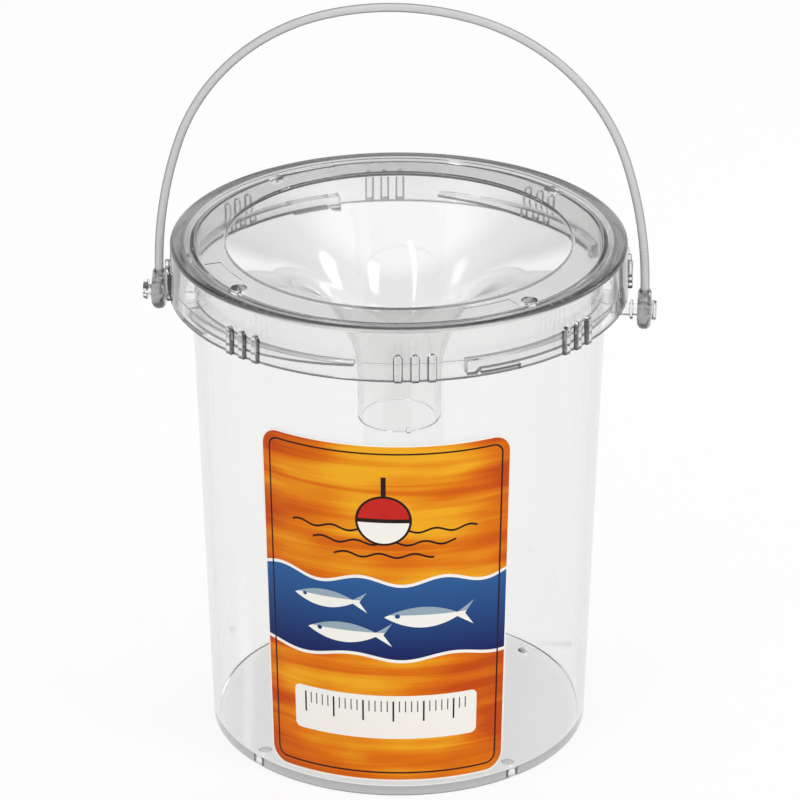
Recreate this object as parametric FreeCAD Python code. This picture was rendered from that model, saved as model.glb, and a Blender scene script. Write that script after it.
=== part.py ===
"""Clear minnow trap: a tapered jar, a funnel held in its mouth by a bayonet ring, and a swinging bail.

Millimetres. +Z is up, the origin is under the centre of the jar's floor, and X is the bail's pivot axis.
Angles round the jar are degrees from the front (-Y), counted towards +X.
"""
import FreeCAD, Part
import math
import os

from FreeCAD import Vector

# Jar: a clear moulded tub
JAR_HEIGHT = 169.6
JAR_BASE_RADIUS = 62.4
JAR_RIM_RADIUS = 67.9
JAR_WALL = 2.0
JAR_FLOOR = 3.0
JAR_CORNER = 1.2
JAR_INNER_CORNER = 3.5
RIM_ROUND = 0.6
WATER_HOLE_COUNT = 4
WATER_HOLE_DIAMETER = 4.2
WATER_HOLE_INSET = 2.4
WATER_HOLE_ANGLE = 45.0

# Bayonet: rails and stops on the jar, lugs inside the ring
RAIL_COUNT = 4
RAIL_REACH = 3.5
RAIL_THICKNESS = 3.3
RAIL_START = 23.2
ENTRY_SWEEP = 28.5
RAMP_SWEEP = 29.5
RAMP_RISE = 2.3
STOP_WIDTH = 3.8
STOP_DROP = 1.5
LUG_SWEEP = 11.0
LUG_HEIGHT = 1.1
LUG_TO_JAR = 0.6
LUG_TO_RAIL = 0.3
LUG_TO_STOP = 0.5

# Ring: a clear skirt with a lip over the funnel's edge
SKIRT_DEPTH = 17.6
SKIRT_WALL = 2.6
SKIRT_FLARE = 0.55
RAIL_TO_SKIRT = 0.4
RAIL_TO_STEP = 0.7
STEP_WIDTH = 0.7
LIP_OVERHANG = 1.9
LIP_THICKNESS = 1.15
LIP_TO_FLANGE = 0.15
SHOULDER_ROUND = 1.3
RING_EDGE_ROUND = 0.3
RIB_GROUPS = 8
RIBS_IN_GROUP = 3
RIB_GROUP_ANGLE = 9.85
RIB_PITCH = 5.3
RIB_WIDTH = 2.3
RIB_HEIGHT = 9.6
RIB_PROUD = 1.3
RIB_ROUND = 0.5

# Funnel: a disc on the jar's rim, a horn that curves in from it and a short neck
FUNNEL_WALL = 1.7
FUNNEL_FLANGE = 1.1
FLANGE_TO_STEP = 0.3
DISC_TO_LIP = 1.1
LEDGE_WIDTH = 12.4
MOUTH_STEP = 0.8
MOUTH_ROUND = 0.4
HORN_SLOPE = 22.0
HORN_ROUND = 49.0
UNDERSIDE_BLEND = 1.5
FUNNEL_DEPTH = 62.9
NECK_BORE = 24.4
FUNNEL_EDGE_ROUND = 0.3
VENT_COUNT = 4
VENT_DIAMETER = 5.3
VENT_INSET = 0.75
VENT_ANGLE = 45.0
PAD_COUNT = 4
PAD_ANGLE = 25.7
PAD_SWEEP = 15.0
PAD_WIDTH = 5.5
PAD_INSET = 2.4
PAD_DEPTH = 0.25

# Pivot pins: staked through the jar's wall, with a collar and a split snap head
ROOT_DIAMETER = 3.2
ROOT_FIT = 0.03
STAKE_DIAMETER = 5.6
STAKE_THICKNESS = 1.0
SHAFT_DIAMETER = 4.2
COLLAR_DIAMETER = 6.6
COLLAR_THICKNESS = 1.0
COLLAR_TO_SKIRT = 1.1
JOURNAL_DIAMETER = 4.0
HEAD_DIAMETER = 6.9
HEAD_THICKNESS = 1.5
HEAD_TAPER = 0.3
HEAD_ROUND = 0.4
HEAD_SLOT = 1.0
HEAD_SLOT_DEPTH = 2.4
LEFT_SLOT_TURN = 0.0
RIGHT_SLOT_TURN = 90.0

# Bail: a thin rod with an eye on each end, with end play along the pivot axis
EYE_THICKNESS = 4.4
EYE_RADIUS = 6.3
EYE_NECK_RADIUS = 2.4
EYE_TOP = 8.0
EYE_RIM_FLAT = 0.4
EYE_END_PLAY = 0.8
EYE_RUNNING_FIT = 0.05
EYE_TO_RIBS = 1.15
ROD_DIAMETER = 2.9
ROD_FIT = 0.05
ROD_SOCKET_DEPTH = 4.0
ROD_TIP_LENGTH = 2.0
ROD_TIP_RADIUS = 0.9
LEG_BEND_RADIUS = 140.9
LEG_BEND_SWEEP = 18.1
SHOULDER_RADIUS = 70.1
SHOULDER_SWEEP = 56.2
BAIL_SHIFT = 0.65

# Label: a thin sticker on the front of the jar
LABEL_HEIGHT = 123.0
LABEL_SWEEP = 73.4
LABEL_CENTRE = 1.7
LABEL_LIFT = 4.9
LABEL_CORNER = 6.5
LABEL_THICKNESS = 0.15
LABEL_GLUE = 0.2

# How far a cutting tool runs past the face that it cuts
CUT_PAST = 1.0

ORIGIN = Vector(0, 0, 0)
UP = Vector(0, 0, 1)
FULL_TURN = 360.0


def jar_radius(height):
    """Outside radius of the tapered wall at a height."""
    return JAR_BASE_RADIUS + (JAR_RIM_RADIUS - JAR_BASE_RADIUS) * height / JAR_HEIGHT


# Heights that several pieces share
disc_thickness = FUNNEL_FLANGE + LIP_TO_FLANGE + LIP_THICKNESS
lid_top = JAR_HEIGHT + disc_thickness
skirt_bottom = lid_top - SKIRT_DEPTH
lug_top = skirt_bottom + LUG_HEIGHT
rail_bottom = lug_top + LUG_TO_RAIL
rail_top = rail_bottom + RAIL_THICKNESS
step_height = rail_top + RAIL_TO_STEP
pivot_height = skirt_bottom - COLLAR_TO_SKIRT - COLLAR_DIAMETER / 2

# Radii that several pieces share
rail_radius = jar_radius(rail_top) + RAIL_REACH
skirt_inner_radius = rail_radius + RAIL_TO_SKIRT
step_radius = skirt_inner_radius - STEP_WIDTH
ring_radius = skirt_inner_radius + SKIRT_WALL
rib_tip_radius = ring_radius + SKIRT_FLARE + RIB_PROUD
lip_radius = skirt_inner_radius - LIP_OVERHANG
disc_radius = lip_radius - DISC_TO_LIP
pivot_wall_radius = jar_radius(pivot_height)

# Distances along the pivot axis
eye_inner_face = rib_tip_radius + EYE_TO_RIBS
eye_centre = eye_inner_face + EYE_THICKNESS / 2
collar_face = eye_inner_face - EYE_END_PLAY
head_face = eye_inner_face + EYE_THICKNESS + EYE_END_PLAY

# Angles of one rail, its stop and the lug that rests against it
stop_sweep = math.degrees(STOP_WIDTH / rail_radius)
rail_sweep = FULL_TURN / RAIL_COUNT - ENTRY_SWEEP
lug_start = RAIL_START + stop_sweep + math.degrees(LUG_TO_STOP / rail_radius)


def profile(corners):
    """Closed face in the plane x = 0 from (radius, height, rounding) corners, with radius towards the front."""
    points = [Vector(0, -radius, height) for radius, height, _ in corners]
    spans = []
    for index, (_, _, rounding) in enumerate(corners):
        here = points[index]
        if rounding == 0:
            spans.append((here, None, here))
            continue
        back = (points[index - 1] - here).normalize()
        ahead = (points[(index + 1) % len(points)] - here).normalize()
        half_angle = back.getAngle(ahead) / 2
        set_back = rounding / math.tan(half_angle)
        bisector = (back + ahead).normalize()
        middle = here + bisector * (rounding / math.sin(half_angle) - rounding)
        spans.append((here + back * set_back, middle, here + ahead * set_back))
    edges = []
    for index, (start, middle, end) in enumerate(spans):
        if middle is not None:
            edges.append(Part.Arc(start, middle, end).toShape())
        following = spans[(index + 1) % len(spans)][0]
        edges.append(Part.makeLine(end, following))
    return Part.Face(Part.Wire(edges))


def turned(face, sweep=FULL_TURN):
    """Solid swept by a profile round the jar's axis."""
    return face.revolve(ORIGIN, UP, sweep)


def at_angle(shape, angle):
    """Copy of a shape turned round the jar's axis."""
    copy = shape.copy()
    copy.rotate(ORIGIN, UP, angle)
    return copy


def round_the_jar(shape, count, first_angle):
    """Copies of a shape, evenly spaced round the jar's axis."""
    return [at_angle(shape, first_angle + index * FULL_TURN / count) for index in range(count)]


def block_profile(inner, outer, low, high):
    """Plain four-sided profile."""
    return profile([(inner, low, 0), (outer, low, 0), (outer, high, 0), (inner, high, 0)])


def upright_drill(diameter, circle_radius, low, high):
    """Cutter for a vertical hole that starts at the front of its circle."""
    return Part.makeCylinder(diameter / 2, high - low + 2 * CUT_PAST, Vector(0, -circle_radius, low - CUT_PAST), UP)


def jar_shell():
    """The plain tub, with no rails or holes."""
    return turned(profile([
        (0, 0, 0),
        (JAR_BASE_RADIUS, 0, JAR_CORNER),
        (JAR_RIM_RADIUS, JAR_HEIGHT, RIM_ROUND),
        (JAR_RIM_RADIUS - JAR_WALL, JAR_HEIGHT, RIM_ROUND),
        (jar_radius(JAR_FLOOR) - JAR_WALL, JAR_FLOOR, JAR_INNER_CORNER),
        (0, JAR_FLOOR, 0),
    ]))


def bayonet_rail():
    """One rail with its stop. The end away from the stop is ramped underneath to lead the lug in."""
    root = jar_radius(skirt_bottom) - JAR_WALL / 2
    rail = turned(block_profile(root, rail_radius, rail_bottom, rail_top), rail_sweep)
    half_run = rail_radius * math.sin(math.radians(RAMP_SWEEP / 2))
    slope = RAMP_RISE / (2 * half_run)
    far = half_run + CUT_PAST
    low = rail_bottom - CUT_PAST
    near_side = -rail_radius / 2
    wedge = Part.Face(Part.makePolygon([
        Vector(-half_run, near_side, rail_bottom),
        Vector(far, near_side, rail_bottom + slope * (half_run + far)),
        Vector(far, near_side, low),
        Vector(-half_run, near_side, low),
        Vector(-half_run, near_side, rail_bottom),
    ])).extrude(Vector(0, -rail_radius, 0))
    rail = rail.cut(at_angle(wedge, rail_sweep - RAMP_SWEEP / 2))
    stop = turned(block_profile(root, rail_radius, rail_bottom - STOP_DROP, rail_top), stop_sweep)
    return rail.fuse(stop)


def make_jar():
    rails = round_the_jar(bayonet_rail(), RAIL_COUNT, RAIL_START)
    hole_circle = jar_radius(JAR_FLOOR) - JAR_WALL - WATER_HOLE_INSET - WATER_HOLE_DIAMETER / 2
    hole = upright_drill(WATER_HOLE_DIAMETER, hole_circle, 0, JAR_FLOOR)
    pin_hole = Part.makeCylinder(
        ROOT_DIAMETER / 2 + ROOT_FIT,
        2 * JAR_RIM_RADIUS + 2 * CUT_PAST,
        Vector(-JAR_RIM_RADIUS - CUT_PAST, 0, pivot_height),
        Vector(1, 0, 0),
    )
    holes = round_the_jar(hole, WATER_HOLE_COUNT, WATER_HOLE_ANGLE) + [pin_hole]
    return jar_shell().fuse(rails).removeSplitter().cut(holes)


def make_funnel():
    mouth_radius = disc_radius - LEDGE_WIDTH
    neck_inner = NECK_BORE / 2
    neck_outer = neck_inner + FUNNEL_WALL
    neck_bottom = lid_top - FUNNEL_DEPTH
    slope = math.radians(HORN_SLOPE)
    horn_top = lid_top - MOUTH_STEP
    # The horn leaves the mouth at its slope and bends down into the upright neck. Its outer face lies one wall below.
    wall_drop = FUNNEL_WALL / math.cos(slope)
    inner_bend = horn_top - (mouth_radius - neck_inner) * math.tan(slope)
    outer_bend = inner_bend + FUNNEL_WALL * math.tan(slope) - wall_drop
    under_disc = mouth_radius + (JAR_HEIGHT + wall_drop - horn_top) / math.tan(slope)
    flange_radius = step_radius - FLANGE_TO_STEP
    flange_top = JAR_HEIGHT + FUNNEL_FLANGE
    funnel = turned(profile([
        (disc_radius, lid_top, FUNNEL_EDGE_ROUND),
        (mouth_radius, lid_top, MOUTH_ROUND),
        (mouth_radius, horn_top, 0),
        (neck_inner, inner_bend, HORN_ROUND),
        (neck_inner, neck_bottom, FUNNEL_EDGE_ROUND),
        (neck_outer, neck_bottom, FUNNEL_EDGE_ROUND),
        (neck_outer, outer_bend, HORN_ROUND - FUNNEL_WALL),
        (under_disc, JAR_HEIGHT, UNDERSIDE_BLEND),
        (flange_radius, JAR_HEIGHT, FUNNEL_EDGE_ROUND),
        (flange_radius, flange_top, FUNNEL_EDGE_ROUND),
        (disc_radius, flange_top, 0),
    ]))
    vent_circle = disc_radius - VENT_INSET - VENT_DIAMETER / 2
    vent = upright_drill(VENT_DIAMETER, vent_circle, JAR_HEIGHT, lid_top)
    pad_outer = disc_radius - PAD_INSET
    pad = turned(block_profile(pad_outer - PAD_WIDTH, pad_outer, lid_top - PAD_DEPTH, lid_top + CUT_PAST), PAD_SWEEP)
    cuts = round_the_jar(vent, VENT_COUNT, VENT_ANGLE) + round_the_jar(pad, PAD_COUNT, PAD_ANGLE)
    return funnel.cut(cuts)


def grip_rib():
    """One upright rib at the front of the skirt, round at its top end and along its outer edges."""
    half = RIB_WIDTH / 2
    back = -(skirt_inner_radius + SKIRT_WALL / 2)
    straight_top = skirt_bottom + RIB_HEIGHT - half
    low_left = Vector(-half, back, skirt_bottom)
    low_right = Vector(half, back, skirt_bottom)
    high_right = Vector(half, back, straight_top)
    high_left = Vector(-half, back, straight_top)
    outline = Part.Wire([
        Part.makeLine(low_left, low_right),
        Part.makeLine(low_right, high_right),
        Part.Arc(high_right, Vector(0, back, skirt_bottom + RIB_HEIGHT), high_left).toShape(),
        Part.makeLine(high_left, low_left),
    ])
    bar = Part.Face(outline).extrude(Vector(0, -rib_tip_radius - back, 0))
    outer_edges = [edge for edge in bar.Edges if edge.BoundBox.YMax < -rib_tip_radius + RIB_PROUD / 2]
    return bar.makeFillet(RIB_ROUND, outer_edges)


def make_lid_ring():
    lip_bottom = lid_top - LIP_THICKNESS
    ring = turned(profile([
        (lip_radius, lid_top, RING_EDGE_ROUND),
        (ring_radius, lid_top, SHOULDER_ROUND),
        (ring_radius + SKIRT_FLARE, skirt_bottom, RING_EDGE_ROUND),
        (skirt_inner_radius, skirt_bottom, RING_EDGE_ROUND),
        (skirt_inner_radius, step_height, 0),
        (step_radius, step_height, RING_EDGE_ROUND),
        (step_radius, lip_bottom, RING_EDGE_ROUND),
        (lip_radius, lip_bottom, RING_EDGE_ROUND),
    ]))
    lug_inner = jar_radius(lug_top) + LUG_TO_JAR
    lug_root = skirt_inner_radius + SKIRT_WALL / 2
    lug = turned(block_profile(lug_inner, lug_root, skirt_bottom, lug_top), LUG_SWEEP)
    rib = grip_rib()
    rib_step = math.degrees(RIB_PITCH / ring_radius)
    additions = round_the_jar(lug, RAIL_COUNT, lug_start)
    for index in range(RIBS_IN_GROUP):
        offset = (index - (RIBS_IN_GROUP - 1) / 2) * rib_step
        additions += round_the_jar(rib, RIB_GROUPS, RIB_GROUP_ANGLE + offset)
    return ring.fuse(additions).removeSplitter()


def along_pivot(shape):
    """Lay a solid made round the Z axis along the pivot axis, pointing right."""
    laid = shape.copy()
    laid.rotate(ORIGIN, Vector(0, 1, 0), 90)
    laid.translate(Vector(0, 0, pivot_height))
    return laid


def make_pivot_pin(slot_turn):
    """The right-hand pin. Its shoulder and its staked end follow the curve of the wall between them."""
    wall_middle = pivot_wall_radius - JAR_WALL / 2
    stake_end = pivot_wall_radius - JAR_WALL - STAKE_THICKNESS
    head_end = head_face + HEAD_THICKNESS
    outside = turned(profile([
        (0, wall_middle, 0),
        (SHAFT_DIAMETER / 2, wall_middle, 0),
        (SHAFT_DIAMETER / 2, collar_face - COLLAR_THICKNESS, 0),
        (COLLAR_DIAMETER / 2, collar_face - COLLAR_THICKNESS, 0),
        (COLLAR_DIAMETER / 2, collar_face, 0),
        (JOURNAL_DIAMETER / 2, collar_face, 0),
        (JOURNAL_DIAMETER / 2, head_face, 0),
        (HEAD_DIAMETER / 2, head_face, HEAD_ROUND),
        (HEAD_DIAMETER / 2 - HEAD_TAPER, head_end, HEAD_ROUND),
        (0, head_end, 0),
    ]))
    stake = turned(profile([
        (0, stake_end, 0),
        (STAKE_DIAMETER / 2, stake_end, HEAD_ROUND),
        (STAKE_DIAMETER / 2, wall_middle, 0),
        (0, wall_middle, 0),
    ]))
    root = turned(block_profile(0, ROOT_DIAMETER / 2, stake_end + HEAD_ROUND, pivot_wall_radius + HEAD_ROUND))
    wall = jar_shell()
    pin = along_pivot(outside).cut(wall).fuse([along_pivot(stake).cut(wall), along_pivot(root)])
    slot = Part.makeBox(
        HEAD_SLOT_DEPTH + HEAD_THICKNESS + CUT_PAST,
        HEAD_DIAMETER + 2 * CUT_PAST,
        HEAD_SLOT,
        Vector(head_face - HEAD_SLOT_DEPTH, -HEAD_DIAMETER / 2 - CUT_PAST, pivot_height - HEAD_SLOT / 2),
    )
    slot.rotate(Vector(0, 0, pivot_height), Vector(1, 0, 0), slot_turn)
    return pin.removeSplitter().cut(slot)


def make_bail_eye():
    """The right-hand eye: a drop-shaped tab with a bore for the pin and a socket for the rod."""
    neck_height = EYE_TOP - EYE_NECK_RADIUS
    lean = math.asin((EYE_RADIUS - EYE_NECK_RADIUS) / neck_height)

    def spot(side, height, radius, angle):
        return Vector(eye_inner_face, side * radius * math.cos(angle), pivot_height + height + radius * math.sin(angle))

    top = spot(1, neck_height, EYE_NECK_RADIUS, math.pi / 2)
    bottom = spot(1, 0, EYE_RADIUS, -math.pi / 2)
    outline = Part.Wire([
        Part.Arc(spot(-1, 0, EYE_RADIUS, lean), bottom, spot(1, 0, EYE_RADIUS, lean)).toShape(),
        Part.makeLine(spot(1, 0, EYE_RADIUS, lean), spot(1, neck_height, EYE_NECK_RADIUS, lean)),
        Part.Arc(
            spot(1, neck_height, EYE_NECK_RADIUS, lean),
            top,
            spot(-1, neck_height, EYE_NECK_RADIUS, lean),
        ).toShape(),
        Part.makeLine(spot(-1, neck_height, EYE_NECK_RADIUS, lean), spot(-1, 0, EYE_RADIUS, lean)),
    ])
    tab = Part.Face(outline).extrude(Vector(EYE_THICKNESS, 0, 0))
    rims = [edge for edge in tab.Edges if edge.BoundBox.XLength < EYE_THICKNESS / 2]
    rim_round = min((EYE_THICKNESS - EYE_RIM_FLAT) / 2, EYE_NECK_RADIUS - EYE_RIM_FLAT / 2)
    tab = tab.makeFillet(rim_round, rims)
    bore = Part.makeCylinder(
        JOURNAL_DIAMETER / 2 + EYE_RUNNING_FIT,
        EYE_THICKNESS + 2 * CUT_PAST,
        Vector(eye_inner_face - CUT_PAST, 0, pivot_height),
        Vector(1, 0, 0),
    )
    socket = Part.makeCylinder(
        ROD_DIAMETER / 2 + ROD_FIT,
        ROD_SOCKET_DEPTH + CUT_PAST,
        Vector(eye_centre, 0, pivot_height + EYE_TOP - ROD_SOCKET_DEPTH),
        UP,
    )
    return tab.cut([bore, socket])


def make_bail_rod():
    """A round rod: straight ends in the eyes, gently bent legs, round shoulders and a flatter crown, all tangent."""
    leg_top = pivot_height + EYE_TOP
    leg_bottom = leg_top - ROD_SOCKET_DEPTH + ROD_TIP_LENGTH
    leg_turn = math.radians(LEG_BEND_SWEEP)
    shoulder_turn = leg_turn + math.radians(SHOULDER_SWEEP)
    leg_centre = Vector(eye_centre - LEG_BEND_RADIUS, 0, leg_top)

    def on_bend(centre, radius, angle):
        return centre + Vector(radius * math.cos(angle), 0, radius * math.sin(angle))

    leg_end = on_bend(leg_centre, LEG_BEND_RADIUS, leg_turn)
    shoulder_centre = on_bend(leg_end, -SHOULDER_RADIUS, leg_turn)
    shoulder_end = on_bend(shoulder_centre, SHOULDER_RADIUS, shoulder_turn)
    # The crown's arc has its centre in the middle of the bail
    crown_radius = shoulder_end.x / math.cos(shoulder_turn)
    crown_top = on_bend(shoulder_end, -crown_radius, shoulder_turn) + Vector(0, 0, crown_radius)
    leg_middle = on_bend(leg_centre, LEG_BEND_RADIUS, leg_turn / 2)
    shoulder_middle = on_bend(shoulder_centre, SHOULDER_RADIUS, (leg_turn + shoulder_turn) / 2)
    right_foot = Vector(eye_centre, 0, leg_bottom)
    right_leg = Vector(eye_centre, 0, leg_top)

    def left(point):
        return Vector(-point.x, 0, point.z)

    left_foot = left(right_foot)
    path = Part.Wire([
        Part.makeLine(left_foot, left(right_leg)),
        Part.Arc(left(right_leg), left(leg_middle), left(leg_end)).toShape(),
        Part.Arc(left(leg_end), left(shoulder_middle), left(shoulder_end)).toShape(),
        Part.Arc(left(shoulder_end), crown_top, shoulder_end).toShape(),
        Part.Arc(shoulder_end, shoulder_middle, leg_end).toShape(),
        Part.Arc(leg_end, leg_middle, right_leg).toShape(),
        Part.makeLine(right_leg, right_foot),
    ])
    section = Part.Wire([Part.makeCircle(ROD_DIAMETER / 2, left_foot, UP)])
    rod = path.makePipeShell([section], True, False)
    tips = [
        Part.makeCone(ROD_DIAMETER / 2, ROD_TIP_RADIUS, ROD_TIP_LENGTH, foot, Vector(0, 0, -1))
        for foot in (left_foot, right_foot)
    ]
    return rod.fuse(tips).removeSplitter()


def as_bail_lies(shape):
    """Copy of a piece of the bail, which lies to the right by some of its end play."""
    copy = shape.copy()
    copy.translate(Vector(BAIL_SHIFT, 0, 0))
    return copy


def make_label():
    low = JAR_CORNER + LABEL_LIFT
    high = low + LABEL_HEIGHT
    inner_low = jar_radius(low) + LABEL_GLUE
    inner_high = jar_radius(high) + LABEL_GLUE
    start = LABEL_CENTRE - LABEL_SWEEP / 2
    sheet = at_angle(turned(profile([
        (inner_low, low, 0),
        (inner_low + LABEL_THICKNESS, low, 0),
        (inner_high + LABEL_THICKNESS, high, 0),
        (inner_high, high, 0),
    ]), LABEL_SWEEP), start)
    corner_cuts = []
    for height, upward, radius in ((low, -1, inner_low), (high, 1, inner_high)):
        corner_sweep = math.degrees(LABEL_CORNER / radius)
        for edge_angle, outward in ((start, -1), (start + LABEL_SWEEP, 1)):
            centre = Vector(0, -radius + LABEL_CORNER, height - upward * LABEL_CORNER)
            reach = LABEL_CORNER + CUT_PAST
            square = Part.makeBox(reach, 2 * LABEL_CORNER, reach)
            square.translate(centre + Vector(min(0, outward * reach), -2 * LABEL_CORNER, min(0, upward * reach)))
            disc = Part.makeCylinder(LABEL_CORNER, 2 * LABEL_CORNER, centre, Vector(0, -1, 0))
            corner_cuts.append(at_angle(square.cut(disc), edge_angle - outward * corner_sweep))
    return sheet.cut(corner_cuts)


bail_eye = make_bail_eye()
HALF_TURN = 180
pieces = {
    "jar": make_jar(),
    "funnel": make_funnel(),
    "lid_ring": make_lid_ring(),
    "pivot_pin_left": at_angle(make_pivot_pin(LEFT_SLOT_TURN), HALF_TURN),
    "pivot_pin_right": make_pivot_pin(RIGHT_SLOT_TURN),
    "bail_rod": as_bail_lies(make_bail_rod()),
    "bail_eye_left": as_bail_lies(at_angle(bail_eye, HALF_TURN)),
    "bail_eye_right": as_bail_lies(bail_eye),
    "label": make_label(),
}

os.makedirs("parts", exist_ok=True)
for name, shape in pieces.items():
    shape.exportStep(f"parts/{name}.step")
    print(name, "solids", len(shape.Solids), "valid", shape.isValid(), "volume", round(shape.Volume, 1))
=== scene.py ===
"""A clear minnow trap jar, with a funnel held in its mouth by a bayonet ring, a thin bail and a label.

Metres, in the same frame as the solids: +Z is up, the origin is under the middle of the jar's floor, and X is
the bail's pivot axis. Angles round the jar are degrees from the front (-Y), counted towards +X.
"""
import math

import bmesh
import bpy
from mathutils import Matrix, Vector


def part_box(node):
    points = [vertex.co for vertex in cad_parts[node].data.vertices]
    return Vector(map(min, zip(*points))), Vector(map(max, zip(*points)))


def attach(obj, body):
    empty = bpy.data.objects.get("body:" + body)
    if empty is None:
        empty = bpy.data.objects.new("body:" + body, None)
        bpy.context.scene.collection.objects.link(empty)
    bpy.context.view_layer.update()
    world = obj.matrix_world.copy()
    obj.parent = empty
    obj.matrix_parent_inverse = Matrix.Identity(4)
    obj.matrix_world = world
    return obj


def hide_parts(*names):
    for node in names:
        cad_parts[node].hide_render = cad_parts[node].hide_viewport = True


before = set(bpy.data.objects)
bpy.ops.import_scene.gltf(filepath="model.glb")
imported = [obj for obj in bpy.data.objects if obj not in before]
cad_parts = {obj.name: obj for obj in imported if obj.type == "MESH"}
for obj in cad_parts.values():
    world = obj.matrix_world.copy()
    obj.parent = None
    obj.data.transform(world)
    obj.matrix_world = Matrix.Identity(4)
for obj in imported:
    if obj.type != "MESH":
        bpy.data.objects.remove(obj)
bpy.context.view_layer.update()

# Jar: the tapered tub that everything else hangs on, injection moulded in clear polystyrene. Four water holes
# go through its floor, and four bayonet rails stand out below its rim, each with a stop at one end and a ramp
# at the other.
MM = 0.001
FACETS = 192
ARC_STEPS = 8
ARC_CHORD = 1.2 * MM
MERGE_REACH = 0.001 * MM
SHARP_ANGLE = math.radians(32)
EDGE_STEPS = 3
DRILL_FACETS = 40
CUT_PAST = 1.0 * MM
JAR_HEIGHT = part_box("jar")[1].z
JAR_BASE_RADIUS = 62.4 * MM
JAR_RIM_RADIUS = 67.9 * MM
JAR_WALL = 2.0 * MM
JAR_FLOOR = 3.0 * MM
JAR_CORNER = 1.2 * MM
JAR_INNER_CORNER = 1.0 * MM
RIM_ROUND = 0.6 * MM
RIM_TO_FUNNEL = 0.05 * MM
WATER_HOLE_COUNT = 4
WATER_HOLE_ANGLE = 45
WATER_HOLE_RADIUS = 2.1 * MM
WATER_HOLE_INSET = 2.4 * MM
RAIL_COUNT = 4
RAIL_START = 23.2
RAIL_SWEEP = 61.5
RAIL_STEPS = 48
RAIL_REACH = 3.5 * MM
RAIL_THICKNESS = 3.3 * MM
RAIL_BOTTOM = 155.8 * MM
RAMP_SWEEP = 29.5
RAMP_RISE = 2.3 * MM
STOP_SWEEP = 3.06
STOP_DROP = 1.5 * MM
RAIL_ROUND = 0.25 * MM
PIVOT_HEIGHT = 150.0 * MM
PIN_HOLE_RADIUS = 1.63 * MM
PLASTIC_IOR = 1.57
PLASTIC_GREY = (0.30, 0.31, 0.30, 1.0)
PLASTIC_SHADOW = 0.95
TURNS_BEFORE_LEAK = 1.5
CLEAR_TINT = 0.99
CLEAR_BLUE = 0.997
NOISE_MIDDLE = 0.5
FLOW_SCALE = (60, 60, 9)
FLOW_TINT = 0.03
FLOW_ROUGHNESS = 0.01
FLOW_BUMP = 0.04
FLOW_DEPTH = 0.2 * MM
SPECK_SCALE = 120.0
SPECK_SIZE = 0.028
SPECKLESS_CELLS = 0.72
SPECK_TINT = 0.5
SPECK_ROUGHNESS = 0.4
SCUFF_SCALE = (700, 700, 35)
SCUFF_SLANT = (0.3, 0.5, 0.2)
SCUFF_RANGE = (0.68, 0.8)
SCUFF_ROUGHNESS = 0.12


def jar_radius(height):
    """Outside radius of the tapered wall at a height."""
    return JAR_BASE_RADIUS + (JAR_RIM_RADIUS - JAR_BASE_RADIUS) * height / JAR_HEIGHT


def rounded(corners):
    """Outline points from (across, up, rounding) corners, with each rounded corner as an arc."""
    outline = []
    for index, (across, up, rounding) in enumerate(corners):
        here = Vector((across, up))
        if rounding == 0:
            outline.append(here)
            continue
        back = (Vector(corners[index - 1][:2]) - here).normalized()
        ahead = (Vector(corners[(index + 1) % len(corners)][:2]) - here).normalized()
        half_angle = back.angle(ahead) / 2
        centre = here + (back + ahead).normalized() * rounding / math.sin(half_angle)
        start = (here + back * rounding / math.tan(half_angle) - centre).normalized()
        end = (here + ahead * rounding / math.tan(half_angle) - centre).normalized()
        steps = max(ARC_STEPS, round(rounding * start.angle(end) / ARC_CHORD))
        outline += [centre + start.slerp(end, step / steps) * rounding for step in range(steps + 1)]
    return outline


def put_in_scene(name, data):
    """Object at the origin that holds a mesh, a lamp or a camera."""
    thing = bpy.data.objects.new(name, data)
    bpy.context.scene.collection.objects.link(thing)
    return thing


def new_piece(name, shape):
    """Object that holds a shape built in a bmesh, with its faces pointing outwards."""
    bmesh.ops.remove_doubles(shape, verts=shape.verts, dist=MERGE_REACH)
    bmesh.ops.recalc_face_normals(shape, faces=shape.faces)
    mesh = bpy.data.meshes.new(name)
    shape.to_mesh(mesh)
    shape.free()
    return put_in_scene(name, mesh)


def turned(name, corners, facets=FACETS):
    """Solid made by turning a closed outline of rounded corners once round the Z axis."""
    shape = bmesh.new()
    verts = [shape.verts.new((0, -point.x, point.y)) for point in rounded(corners)]
    edges = [shape.edges.new((verts[index - 1], verts[index])) for index in range(len(verts))]
    on_axis = [edge for edge in edges if all(abs(vert.co.y) < MERGE_REACH for vert in edge.verts)]
    bmesh.ops.delete(shape, geom=on_axis, context="EDGES")
    bmesh.ops.spin(
        shape, geom=shape.verts[:] + shape.edges[:], axis=(0, 0, 1), cent=(0, 0, 0),
        angle=math.tau, steps=facets, use_merge=True,
    )
    return new_piece(name, shape)


def sector_block(name, sections):
    """Block bent round the Z axis from the front, through (angle, inner, outer, low, high) sections."""
    shape = bmesh.new()
    loops = []
    for angle, inner, outer, low, high in sections:
        turn = math.radians(angle)
        loops.append([
            shape.verts.new((radius * math.sin(turn), -radius * math.cos(turn), height))
            for radius, height in ((inner, low), (outer, low), (outer, high), (inner, high))
        ])
    for first, second in zip(loops, loops[1:]):
        for corner in range(len(first)):
            shape.faces.new((first[corner - 1], first[corner], second[corner], second[corner - 1]))
    shape.faces.new(loops[0])
    shape.faces.new(loops[-1])
    return new_piece(name, shape)


def drill(name, radius, centre, low, high):
    """Upright round cutter through a place (across, along)."""
    tool = turned(name, [(0, low, 0), (radius, low, 0), (radius, high, 0), (0, high, 0)], DRILL_FACETS)
    tool.data.transform(Matrix.Translation((centre[0], centre[1], 0)))
    return tool


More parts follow.
